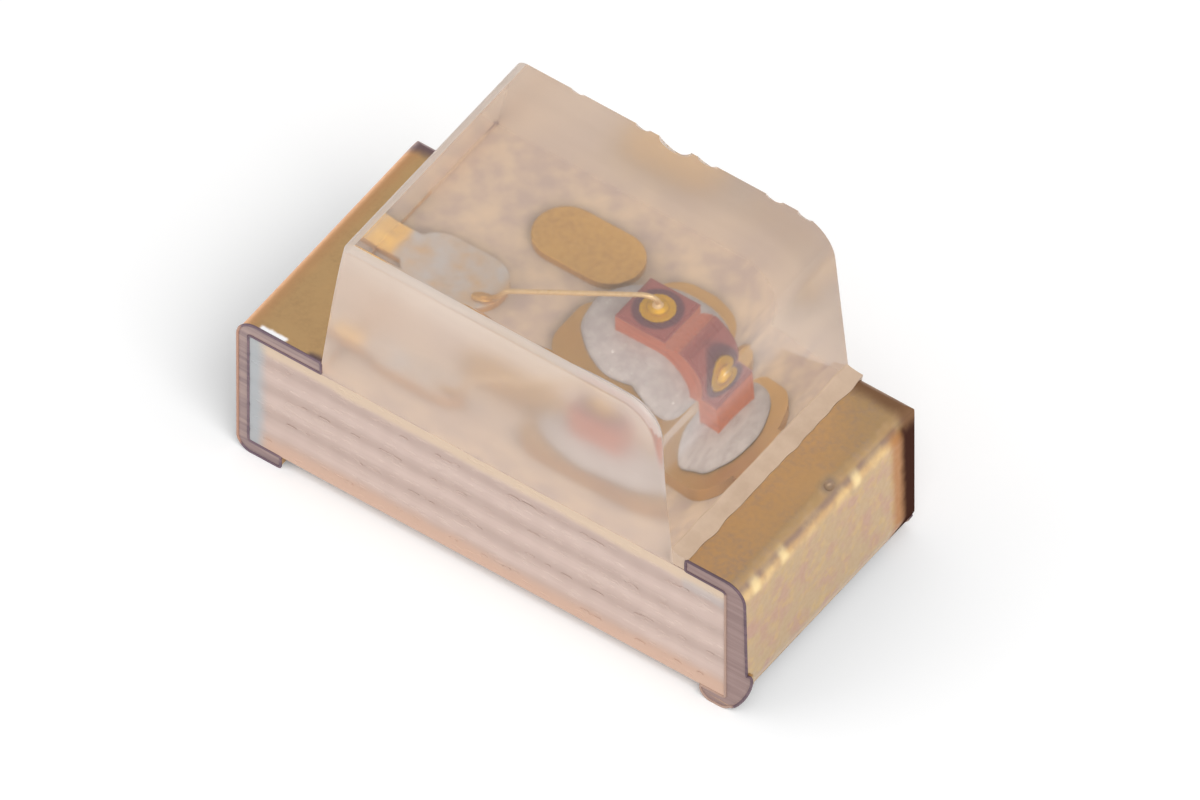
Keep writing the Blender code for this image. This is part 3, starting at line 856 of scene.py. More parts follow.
class Growth(Group):
    """A Geometry Nodes tree that ends in Realize Instances and Set Material."""

    tree_type = "GeometryNodeTree"

    def __init__(self, name: str, **inputs: Kind) -> None:
        """Start the tree.

        Args:
            name: Its name.
            inputs: Kind of each named input, besides Geometry and Material.
        """
        super().__init__(name, {"Geometry": Kind.GEOMETRY, "Material": Kind.MATERIAL} | inputs)

    def tube(self, curve: Socket, sides: int) -> Socket:
        """Sweep a ring, with the Radius of the inputs, along a curve.

        Args:
            curve: The curve.
            sides: How many sides the tube has.

        Returns:
            The tube.
        """
        values = {"Resolution": sides, "Radius": self.source["Radius"]}
        ring = self.add("GeometryNodeCurvePrimitiveCircle", values).outputs[0]
        values = {"Curve": curve, "Profile Curve": ring, "Fill Caps": True}
        return self.add("GeometryNodeCurveToMesh", values).outputs[0]

    def random(self, low: Colour, high: Colour, seed: Value = 0) -> Socket:
        """Give each instance three random numbers.

        Args:
            low: The least ones.
            high: The greatest ones.
            seed: The seed.

        Returns:
            A vector socket.
        """
        values = {"Min": low, "Max": high, "Seed": seed}
        return self.add("FunctionNodeRandomValue", values, data_type="FLOAT_VECTOR").outputs[0]

    def scatter(self, roundness: int, least: Colour, most: Colour, turn: Turns | None = None) -> Socket:
        """Spread lumps over the faces, with the Density, Seed and Size of the inputs.

        Args:
            roundness: How often a lump is subdivided.
            least: Least factors on its size.
            most: Greatest factors on its size.
            turn: Least and greatest turns off the face; without them a lump keeps to the axes.

        Returns:
            The lumps.
        """
        source = self.source
        spread = self.add("GeometryNodeDistributePointsOnFaces", {
            "Mesh": source["Geometry"], "Density": source["Density"], "Seed": source["Seed"]}).outputs
        lump = self.add("GeometryNodeMeshIcoSphere", {"Radius": 1.0, "Subdivisions": roundness}).outputs[0]
        scale = self.vector("MULTIPLY", self.random(least, most, source["Seed"]), source["Size"])
        values = {"Points": spread[0], "Instance": lump, "Scale": scale}
        if turn:
            turns = {"Rotation": spread["Rotation"], "Rotate By": self.random(*turn)}
            lean = self.add("FunctionNodeRotateRotation", turns, rotation_space="LOCAL")
            values["Rotation"] = lean.outputs[0]
        return self.add("GeometryNodeInstanceOnPoints", values).outputs[0]

    def grow(self, thing: Thing, geometry: Socket, **values: object) -> Thing:
        """Close the tree, run it on an object and apply it.

        Args:
            thing: The object that the tree starts from.
            geometry: What the tree has made.
            values: Value of each named input.

        Returns:
            The same object, with what the tree made.
        """
        real = self.add("GeometryNodeRealizeInstances", {"Geometry": geometry}).outputs[0]
        worn = self.add("GeometryNodeSetMaterial", {"Geometry": real, "Material": self.source["Material"]})
        self.end(Kind.GEOMETRY, Geometry=worn.outputs[0])
        step = thing.modifiers.new(self.tree.name, "NODES")
        step.node_group = self.tree
        for key, value in values.items():
            step[self.keys[key]] = value
        return baked(thing)


# ---- pieces


def land_edge() -> float:
    """Find where the right land begins, from the terminal's own mesh on the sawn front.

    Returns:
        Its lowest X in metres.
    """
    low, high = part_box("right_terminal")
    front, top = low.y + NEAR, high.z - 0.02 * MM
    return min(vertex.co.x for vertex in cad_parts["right_terminal"].data.vertices
               if vertex.co.y < front and vertex.co.z > top)


def arc(before: Vector, corner: Vector, after: Vector, radius: float, steps: int) -> list[Vector]:
    """Round one corner of an outline.

    Args:
        before: A point on the way in.
        corner: The corner.
        after: A point on the way out.
        radius: The rounding's radius.
        steps: How many flats it has.

    Returns:
        The points of the rounding.
    """
    to_before, to_after = (before - corner).normalized(), (after - corner).normalized()
    half = to_before.angle(to_after) / 2
    centre = corner + (to_before + to_after).normalized() * radius / math.sin(half)
    start = corner + to_before * radius / math.tan(half) - centre
    end = corner + to_after * radius / math.tan(half) - centre
    first = math.atan2(start.y, start.x)
    sweep = (math.atan2(end.y, end.x) - first + math.pi) % (2 * math.pi) - math.pi
    turns = (first + sweep * step / steps for step in range(steps + 1))
    return [centre + radius * Vector((math.cos(turn), math.sin(turn))) for turn in turns]


@dataclass
class Resin:
    """The moulded lens as one clear solid that dips into the board, so that no air lies under it."""

    left_draft: float = math.radians(7.0)
    right_draft: float = math.radians(5.9)
    left_radius: float = 0.038 * MM
    right_radius: float = 0.12 * MM
    arc_steps: int = 14
    dip: float = 0.01 * MM
    dip_inset: float = 0.014 * MM
    recess: float = 0.0004 * MM
    edge: float = 0.004 * MM
    worn_edge: float = 0.024 * MM
    worn_steps: int = 6
    chips: tuple[tuple[float, float, float, float], ...] = (    # X, length, width and depth in millimetres
        (0.014, 0.11, 0.05, 0.026),
        (-0.09, 0.05, 0.02, 0.009),
        (0.115, 0.07, 0.024, 0.01),
        (0.33, 0.06, 0.02, 0.012),
        (0.43, 0.05, 0.024, 0.014),
        (-0.3, 0.05, 0.014, 0.006),
    )
    chip_lean: float = math.radians(12)
    chip_wave: float = 0.02 * MM
    chip_roughness: float = 0.1
    sawn_tilt: float = 0.2
    worn_tilt: Span = (0.2, 0.97)
    worn_left: float = 0.15

    def build(self, finishes: Materials) -> Thing:
        """Build the resin and dress it.

        Args:
            finishes: The materials by name.

        Returns:
            The piece.
        """
        low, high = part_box("lens")
        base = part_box("substrate")[1].z
        height = high.z - base
        left, right, half = low.x, high.x, high.y - self.recess
        corners = [Vector((left, base)), Vector((left + height * math.tan(self.left_draft), high.z)),
                   Vector((right - height * math.tan(self.right_draft), high.z)), Vector((right, base))]
        top = arc(corners[0], corners[1], corners[2], self.left_radius, self.arc_steps)
        top += arc(corners[1], corners[2], corners[3], self.right_radius, self.arc_steps)
        profile = [corners[0], *top, corners[3]]
        shell = bmesh.new()
        rings = [[shell.verts.new((spot.x, side * half, spot.y)) for spot in profile] for side in (-1, 1)]
        shell.faces.new(list(reversed(rings[0])))
        shell.faces.new(rings[1])
        for number in range(len(profile) - 1):
            shell.faces.new((rings[0][number], rings[0][number + 1], rings[1][number + 1], rings[1][number]))
        sides = ((left + self.dip_inset, -1), (right - self.dip_inset, -1),
                 (right - self.dip_inset, 1), (left + self.dip_inset, 1))
        inner = [shell.verts.new((x, side * (half - self.dip_inset), base - self.dip)) for x, side in sides]
        outer = [rings[0][0], rings[0][-1], rings[1][-1], rings[1][0]]
        for number in range(4):
            after = (number + 1) % 4
            shell.faces.new((outer[number], inner[number], inner[after], outer[after]))
        shell.faces.new(inner)
        bmesh.ops.recalc_face_normals(shell, faces=shell.faces)
        front = rings[0]
        rim = [shell.edges.get((front[number], front[number + 1])) for number in range(1, len(front) - 2)]
        bmesh.ops.bevel(shell, geom=rim, offset=self.worn_edge, segments=self.worn_steps, profile=0.5,
                        affect="EDGES", clamp_overlap=True)
        thing = cast(shell, "resin")
        self.chip(thing, Vector((0, high.y, high.z)))
        softened(thing, self.edge)
        dress(thing, "clear_epoxy", finishes["resin_moulded"], finishes["resin_sawn"], finishes["resin_worn"])
        slots_by_face(thing, self.slot_of)
        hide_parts("lens")
        return thing

    def slot_of(self, face: bpy.types.MeshPolygon) -> ResinSlot:
        """Choose a face's slot by the way it looks.

        Args:
            face: A face of the resin.

        Returns:
            The slot.
        """
        across, up = abs(face.normal.y), face.normal.z
        least, most = self.worn_tilt
        if up > self.sawn_tilt and (least < across < most or -face.normal.x > self.worn_left):
            return ResinSlot.WORN
        return ResinSlot.SAWN if across > self.sawn_tilt else ResinSlot.MOULDED

    def chip(self, thing: Thing, edge: Vector) -> None:
        """Break small pieces out of the back upper edge.

        Args:
            thing: The resin.
            edge: A point of that edge at X = 0.
        """
        lumps = bmesh.new()
        for x, length, width, depth in self.chips:
            start = len(lumps.verts)
            place = Matrix.Translation((x * MM, edge.y, edge.z)) @ Matrix.Rotation(self.chip_lean, 4, "Y")
            size = Matrix.Diagonal((length * MM / 2, width * MM / 2, depth * MM, 1))
            bmesh.ops.create_icosphere(lumps, subdivisions=3, radius=1.0, matrix=place @ size)
            lumps.verts.ensure_lookup_table()
            for vertex in lumps.verts[start:]:
                wave = noise.noise_vector(vertex.co / self.chip_wave)
                vertex.co += wave * self.chip_roughness * depth * MM
        tool = cast(lumps, "resin_chips")
        step = thing.modifiers.new("chips", "BOOLEAN")
        step.operation, step.solver, step.object = "DIFFERENCE", "EXACT", tool
        step.use_self = True
        baked(thing)
        bpy.data.objects.remove(tool)


@dataclass
class Flash:
    """The thin skin of resin that the mould let out between the foot of the right end and the land."""

    climb: float = 0.06 * MM
    bite: float = 0.004 * MM
    overlap: float = 0.006 * MM
    film: float = 0.0025 * MM
    draft: float = math.radians(5.9)
    recess: float = 0.001 * MM
    waver: float = 0.006 * MM
    wave: float = 0.06 * MM
    steps: int = 60
    arc_steps: int = 6

    def build(self, material: Material) -> Thing:
        """Build the skin.

        Args:
            material: The hazy resin.

        Returns:
            The piece.
        """
        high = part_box("lens")[1]
        base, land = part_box("substrate")[1].z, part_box("right_terminal")[1].z
        foot, end = high.x, land_edge()
        half = high.y - self.recess
        shell = bmesh.new()
        rows = []
        for step in range(self.steps + 1):
            y = -half + 2 * half * step / self.steps
            drift = noise.noise(Vector((0, y / self.wave, 0))) * self.waver
            top = Vector((foot - self.climb * math.tan(self.draft) - self.bite, base + self.climb + drift))
            corner = Vector((foot + self.bite, land + self.film))
            tip = Vector((end + self.overlap + drift, land + self.film / 2))
            shares = (number / self.arc_steps for number in range(self.arc_steps + 1))
            curve = [top.lerp(corner, share).lerp(corner.lerp(tip, share), share) for share in shares]
            profile = [*curve, Vector((tip.x, land - self.film)), Vector((end - self.bite, base + self.film)),
                       Vector((top.x, base + self.film))]
            rows.append([shell.verts.new((spot.x, y, spot.y)) for spot in profile])
        for before, after in zip(rows, rows[1:]):
            bridge(shell, before, after)
        shell.faces.new(rows[0])
        shell.faces.new(list(reversed(rows[-1])))
        return dress(shaded(cast(shell, "resin_flash")), "clear_epoxy", material)


@dataclass
class CadCopy:
    """A CAD node that keeps its shape and gets soft edges and its finishes."""

    node: str
    name: str
    slot: str
    edge: float
    coats: tuple[str, ...]

    def build(self, finishes: Materials) -> Thing:
        """Build the piece.

        Args:
            finishes: The materials by name.

        Returns:
            The piece.
        """
        thing = softened(merged_copy(self.node, self.name), self.edge)
        dress(thing, self.slot, *(finishes[coat] for coat in self.coats))
        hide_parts(self.node)
        return thing


@dataclass
class Terminal(CadCopy):
    """One wrapped end: plated copper with its sawn section in a slot of its own."""

    line: str
    flatness: float = 0.99
    near: float = 0.001 * MM

    def build(self, finishes: Materials) -> Thing:
        """Build the terminal and tell its sawn section from the plating.

        Args:
            finishes: The materials by name.

        Returns:
            The piece.
        """
        thing = super().build(finishes)
        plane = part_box(self.node)[1].y - self.near
        slots_by_face(thing, lambda face: CopperSlot.SECTION if abs(face.normal.y) > self.flatness
                      and abs(face.center.y) > plane else CopperSlot.PLATING)
        return thing


@dataclass
class SectionLines:
    """The thin layer of nickel that outlines the copper's section on both sawn faces."""

    radius: float = 0.004 * MM
    sides: int = 8
    step_length: float = 0.006 * MM
    sharp: float = math.radians(60)

    def build(self, node: str, material: Material) -> Thing:
        """Grow the line along the section's outline.

        Args:
            node: The CAD node.
            material: The line's material.

        Returns:
            The piece.
        """
        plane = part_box(node)[1].y - NEAR
        thing = merged_copy(node, node + "_layers")
        growth = Growth("section_lines", Plane=Kind.FLOAT, Radius=Kind.FLOAT, Step=Kind.FLOAT)
        add, source = growth.add, growth.source
        position = add("GeometryNodeInputPosition").outputs[0]
        depth = growth.math("ABSOLUTE", growth.along(position, Axis.Y))
        angle = add("GeometryNodeInputMeshEdgeAngle").outputs["Unsigned Angle"]
        on_plane, is_edge = (
            add("FunctionNodeCompare", {0: value, 1: limit}, operation="GREATER_THAN").outputs[0]
            for value, limit in ((depth, source["Plane"]), (angle, self.sharp)))
        chosen = add("FunctionNodeBooleanMath", {0: on_plane, 1: is_edge}).outputs[0]
        curve = add("GeometryNodeMeshToCurve", {"Mesh": source["Geometry"], "Selection": chosen}).outputs[0]
        even = add("GeometryNodeResampleCurve", {"Curve": curve, "Length": source["Step"]}, mode="LENGTH")
        growth.grow(thing, growth.tube(even.outputs[0], self.sides), Material=material, Plane=plane,
                    Radius=self.radius, Step=self.step_length)
        thing.data.shade_smooth()
        return dress(thing, "plated_gold")


@dataclass
class Board:
    """The laminated board, its frayed grooves made shallow and shaded soft, and yarn ends in low relief."""

    seed: int = 11
    density: float = 900.0 / MM / MM
    yarn_length: float = 0.03 * MM
    yarn_width: float = 0.009 * MM
    yarn_rise: float = 0.0012 * MM
    margin: float = 0.012 * MM
    sink: float = 0.0004 * MM
    groove_depth: float = 0.002 * MM
    soft_angle: float = math.radians(80)

    def build(self, finishes: Materials) -> list[Thing]:
        """Dress the board and grow the yarn ends on its sawn faces.

        Args:
            finishes: The materials by name.

        Returns:
            The pieces.
        """
        board = merged_copy("substrate", "board")
        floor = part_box("substrate")[1].y - self.groove_depth
        for vertex in board.data.vertices:
            if abs(vertex.co.y) < floor:
                vertex.co.y = math.copysign(floor, vertex.co.y)
        board.data.update()
        shaded(board, self.soft_angle)
        dress(board, "laminate", finishes["laminate"])
        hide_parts("substrate")
        return [board, self.yarns(finishes["yarn"])]

    def yarns(self, material: Material) -> Thing:
        """Grow flattened yarn ends over the sawn faces.

        Args:
            material: The yarns' material.

        Returns:
            The piece.
        """
        low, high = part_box("substrate")
        left, right, bottom, top = (low.x + self.margin, high.x - self.margin, low.z + self.margin,
                                    high.z - self.margin)
        spots = [(x, side * (high.y - self.sink), z) for side in (-1, 1)
                 for x, z in ((left, bottom), (right, bottom), (right, top), (left, top))]
        thing = drawn("yarn_ends", spots, faces=[(0, 1, 2, 3), (7, 6, 5, 4)])
        growth = Growth("yarn_ends", Density=Kind.FLOAT, Seed=Kind.WHOLE, Size=Kind.VECTOR)
        growth.grow(thing, growth.scatter(2, (0.6, 1.0, 0.6), (1.5, 1.0, 1.3)), Material=material,
                    Density=self.density, Seed=self.seed,
                    Size=(self.yarn_length / 2, self.yarn_rise, self.yarn_width / 2))
        thing.data.shade_smooth()
        return dress(thing, "laminate")


@dataclass
class DieAttach:
    """The pool of silver epoxy, lumpy, with flakes that stand on its skin."""

    seed: int = 5
    density: float = 900.0 / MM / MM
    flake_size: float = 0.0035 * MM
    turn: Turns = ((-0.5, -0.5, 0.0), (0.5, 0.5, 6.28))
    lump: float = 0.0025 * MM
    waves: tuple[Span, ...] = ((3.1, 0.6), (9.0, 0.25))     # scale and share of each wave in the skin
    swell: Span = (2.2, 0.05)
    rings: int = 40
    spokes: int = 96

    def build(self, material: Material, flake: Material) -> list[Thing]:
        """Build the pool and its flakes.

        Args:
            material: The epoxy.
            flake: The flakes.

        Returns:
            The pieces.
        """
        low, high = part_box("die_attach")
        middle, reach, rise = (low + high) / 2, (high - low) / 2, high.z - low.z
        shell = bmesh.new()
        rows = []
        for ring in range(1, self.rings + 1):
            out = math.pi / 2 * ring / self.rings
            row = []
            for spoke in range(self.spokes):
                turn = 2 * math.pi * spoke / self.spokes
                spot = Vector((math.cos(turn) * math.sin(out), math.sin(turn) * math.sin(out), math.cos(out)))
                wave = sum(noise.noise(spot * scale) * share for scale, share in self.waves)
                swell = 1 + self.swell[1] * noise.noise(Vector((spot.x, spot.y, 0)) * self.swell[0])
                height = low.z + spot.z * rise + wave * self.lump * math.cos(out)
                row.append(shell.verts.new((middle.x + spot.x * reach.x * swell,
                                            middle.y + spot.y * reach.y * swell, height)))
            rows.append(row)
        top = shell.verts.new((middle.x, middle.y, high.z))
        floor = shell.verts.new((middle.x, middle.y, low.z))
        for spoke in range(self.spokes):
            after = (spoke + 1) % self.spokes
            shell.faces.new((top, rows[0][spoke], rows[0][after]))
            shell.faces.new((floor, rows[-1][after], rows[-1][spoke]))
            for inner, outer in zip(rows, rows[1:]):
                shell.faces.new((inner[spoke], outer[spoke], outer[after], inner[after]))
        thing = cast(shell, "silver_epoxy")
        thing.data.shade_smooth()
        flakes = put(thing.data.copy(), "silver_flakes")
        dress(thing, "silver_epoxy", material)
        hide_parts("die_attach")
        growth = Growth("silver_flakes", Density=Kind.FLOAT, Seed=Kind.WHOLE, Size=Kind.VECTOR)
        growth.grow(flakes, growth.scatter(1, (0.6, 0.5, 0.12), (1.6, 1.2, 0.2), self.turn), Material=flake,
                    Density=self.density, Seed=self.seed, Size=(self.flake_size,) * 3)
        return [thing, dress(flakes, "silver_epoxy")]


@dataclass
class Wire:
    """The bond wire: a drawn tube, the ball that was melted on its end and the stitch pressed into the pad."""

    radius: float = 0.008 * MM
    sides: int = 20
    ball_radius: float = 0.03 * MM
    ball_height: float = 0.026 * MM
    ball_steps: int = 40
    ball_outline: tuple[Span, ...] = (      # radius and height as shares of the ball's
        (0.72, 0.0), (0.93, 0.12), (1.0, 0.3), (0.97, 0.48), (0.84, 0.62), (0.66, 0.72), (0.5, 0.86), (0.4, 1.1),
        (0.36, 1.3))
    bend_top: float = 0.1 * MM
    bend_radius: float = 0.034 * MM
    stitch: Span = (-0.227 * MM, -0.132 * MM)
    stitch_size: Colour = (0.06 * MM, 0.034 * MM, 0.011 * MM)
    stitch_lift: float = 0.002 * MM
    stitch_wave: float = 0.015 * MM
    stitch_roughness: float = 0.001 * MM
    stitch_fall: float = 0.02
    landing: float = 0.03 * MM
    landing_radius: float = 0.04 * MM
    rise: float = 0.004 * MM
    knee: Colour = (0.069 * MM, 0.084 * MM, 0.04 * MM)
    bend_steps: tuple[int, int, int] = (20, 8, 12)
    stitch_steps: tuple[int, int] = (32, 16)
    ball_spread: float = 1.02

    def route(self) -> list[Vector]:
        """Give the wire's middle line.

        Returns:
            Its points from ball to stitch.
        """
        low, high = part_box("die_electrode")
        start = (low + high) / 2
        run = Vector((self.stitch[0] - start.x, self.stitch[1] - start.y))
        die_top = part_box("led_die")[1].z
        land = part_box("left_terminal")[1].z
        level = land + self.rise + self.radius
        reach, knee_rise, knee_radius = self.knee
        corners = [Vector((0, high.z + self.ball_height / 2)), Vector((0, die_top + self.bend_top)),
                   Vector((run.length - reach, land + knee_rise)), Vector((run.length - self.landing, level)),
                   Vector((run.length, level))]
        flat = [corners[0]]
        radii = (self.bend_radius, knee_radius, self.landing_radius)
        for number, (radius, steps) in enumerate(zip(radii, self.bend_steps)):
            flat += arc(*corners[number:number + 3], radius, steps)
        flat.append(corners[-1])
        heading = run.normalized()
        return [Vector((start.x + heading.x * spot.x, start.y + heading.y * spot.x, spot.y)) for spot in flat]

    def build(self, finishes: Materials) -> Thing:
        """Build the wire in one piece.

        Args:
            finishes: The materials by name.

        Returns:
            The piece.
        """
        route = self.route()
        thing = drawn("gold_wire", route, edges=zip(range(len(route) - 1), range(1, len(route))))
        growth = Growth("drawn_wire", Radius=Kind.FLOAT)
        curve = growth.add("GeometryNodeMeshToCurve", {"Mesh": growth.source["Geometry"]}).outputs[0]
        growth.grow(thing, growth.tube(curve, self.sides), Material=finishes["wire_gold"], Radius=self.radius)
        shell = bmesh.new()
        shell.from_mesh(thing.data)
        self.add_ball(shell, route[0] - Vector((0, 0, self.ball_height / 2)))
        self.add_stitch(shell, route[-1], route[-1] - route[0])
        shell.verts.index_update()
        count = len(shell.verts)        # faces in the order of their first edges, because a UV sphere's vary
        shell.faces.sort(key=lambda face: face.verts[0].index * count + face.verts[1].index)
        shell.to_mesh(thing.data)
        shell.free()
        thing.data.shade_smooth()
        dress(thing, "electrode_gold", finishes["wire_gold"], finishes["electrode_gold"])
        spread, top = self.ball_radius * self.ball_spread, route[0].z + self.ball_height / 3
        slots_by_face(thing, lambda face: GoldSlot.BALL if (face.center - route[0]).to_2d().length < spread
                      and face.center.z < top else GoldSlot.WIRE)
        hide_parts("bond_wire")
        return thing

    def add_ball(self, shell: Shell, foot: Vector) -> None:
        """Add the pressed ball with the cone that the capillary shaped on it.

        Args:
            shell: The wire's mesh.
            foot: Middle of the ball's underside.
        """
        turns = [2 * math.pi * step / self.ball_steps for step in range(self.ball_steps)]
        rows = [[shell.verts.new(foot + Vector((math.cos(turn) * out * self.ball_radius,
                                                math.sin(turn) * out * self.ball_radius,
                                                up * self.ball_height))) for turn in turns]
                for out, up in self.ball_outline]
        for lower, upper in zip(rows, rows[1:]):
            bridge(shell, lower, upper)
        shell.faces.new(list(reversed(rows[0])))
        shell.faces.new(rows[-1])

    def add_stitch(self, shell: Shell, middle: Vector, heading: Vector) -> None:
        """Add the crescent that the capillary pressed into the pad.

        Args:
            shell: The wire's mesh.
            middle: The end of the wire's middle line.
            heading: The wire's direction.
        """
        turn = Matrix.Rotation(math.atan2(heading.y, heading.x), 4, "Z")
        length, width, height = self.stitch_size
        level = middle.z - self.radius - self.rise + height / 2 + self.stitch_lift
        place = Matrix.Translation((middle.x, middle.y, level))
        size = Matrix.Diagonal((length / 2, width / 2, height / 2, 1))
        around, along = self.stitch_steps
        made = bmesh.ops.create_uvsphere(shell, u_segments=around, v_segments=along, radius=1.0,
                                         matrix=place @ turn @ size)
        for vertex in made["verts"]:
            away = (vertex.co - middle).to_2d().length
            wave = noise.noise(vertex.co / self.stitch_wave)
            vertex.co.z += wave * self.stitch_roughness - away * self.stitch_fall


# ---- stage


@dataclass
class Lamp:
    """A soft square lamp that points at the object: place, side and power in metres and watts."""

    name: str
    place: Colour
    size: float
    power: float

    def build(self) -> Thing:
        """Hang the lamp.

        Returns:
            The lamp.
        """
        data = bpy.data.lights.new(self.name, "AREA")
        data.size, data.energy = self.size, self.power
        thing = put(data, self.name)
        thing.location = self.place
        thing.rotation_euler = (-Vector(self.place)).to_track_quat("-Z", "Y").to_euler()
        return thing


@dataclass
class Studio:
    """Floor, world, lamps and camera."""

    azimuth: float = math.radians(35.64)
    elevation: float = math.radians(48.99)
    frame_width: float = 1200 / 385 * MM
    centre_right: float = 0.04421 * MM
    centre_up: float = 0.23574 * MM
    distance: float = 20 * MM
    clip: Span = (0.1 * MM, 1000 * MM)
    floor_size: float = 600 * MM
    floor_white: float = 0.93
    floor_lift: float = 0.12
    sky: Span = (0.72, 0.5)
    dark_from: Span = (0.1, 0.95)
    dark_towards: Colour = (-0.3824, 0.5333, 0.7546)
    lamps: tuple[Lamp, ...] = (
        Lamp("key", (14 * MM, -10 * MM, 22 * MM), 16 * MM, 0.004),
        Lamp("fill", (-18 * MM, -16 * MM, 12 * MM), 20 * MM, 0.001),
    )

    def axes(self) -> tuple[Vector, Vector, Vector]:
        """Give the picture's directions.

        Returns:
            Right, up and back, as unit vectors.
        """
        sin_a, cos_a = math.sin(self.azimuth), math.cos(self.azimuth)
        sin_e, cos_e = math.sin(self.elevation), math.cos(self.elevation)
        return (Vector((cos_a, sin_a, 0)), Vector((-sin_a * sin_e, cos_a * sin_e, cos_e)),
                Vector((sin_a * cos_e, -cos_a * cos_e, sin_e)))

    def camera(self) -> Thing:
        """Make the camera at the photograph's angle.

        Returns:
            The camera.
        """
        right, up, back = self.axes()
        data = bpy.data.cameras.new("camera")
        data.type, data.ortho_scale = "ORTHO", self.frame_width
        data.clip_start, data.clip_end = self.clip
        thing = put(data, "camera")
        place = Matrix((right, up, back)).transposed().to_4x4()
        place.translation = right * self.centre_right + up * self.centre_up + back * self.distance
        thing.matrix_world = place
        bpy.context.scene.camera = thing
        return thing

    def floor(self, groups: Groups) -> Thing:
        """Lay the floor.

        Args:
            groups: The shared shader groups.

        Returns:
            The floor.
        """
        half = self.floor_size / 2
        thing = drawn("floor", [(-half, -half, 0), (half, -half, 0), (half, half, 0), (-half, half, 0)],
                      faces=[(0, 1, 2, 3)])
        finish = FloorFinish("floor_paper", (self.floor_white,) * 3, self.floor_lift)
        thing.data.materials.append(finish.material(groups))
        return thing

    def world(self) -> bpy.types.World:
        """Make the soft sky: plain white for the camera, a little darker towards the upper back left.

        Returns:
            The world.
        """
        world = bpy.data.worlds.new("soft_sky")
        world.use_nodes = True
        graph = Graph(world.node_tree)
        sky = world.node_tree.nodes["Background"]
        direction = graph.add("ShaderNodeTexCoord").outputs["Generated"]
        facing = graph.vector("DOT_PRODUCT", direction, self.dark_towards)
        level = graph.between(facing, *self.dark_from, *self.sky)
        seen = graph.add("ShaderNodeLightPath").outputs["Is Camera Ray"]
        lit = graph.math("MULTIPLY", level, graph.math("SUBTRACT", 1.0, seen))
        graph.feed(sky.inputs["Strength"], graph.math("ADD", lit, seen))
        sky.inputs["Color"].default_value = (1, 1, 1, 1)
        bpy.context.scene.world = world
        return world

    def build(self, groups: Groups) -> None:
        """Set up the whole studio.

        Args:
            groups: The shared shader groups.
        """
        self.camera()
        self.floor(groups)
        self.world()
        for lamp in self.lamps:
            lamp.build()
        scene = bpy.context.scene
        scene.view_settings.view_transform = "Standard"
        cycles = scene.cycles
        cycles.use_denoising = True
        cycles.max_bounces, cycles.transmission_bounces, cycles.transparent_max_bounces = 16, 14, 16
        cycles.caustics_reflective = cycles.caustics_refractive = False


# ---- the whole


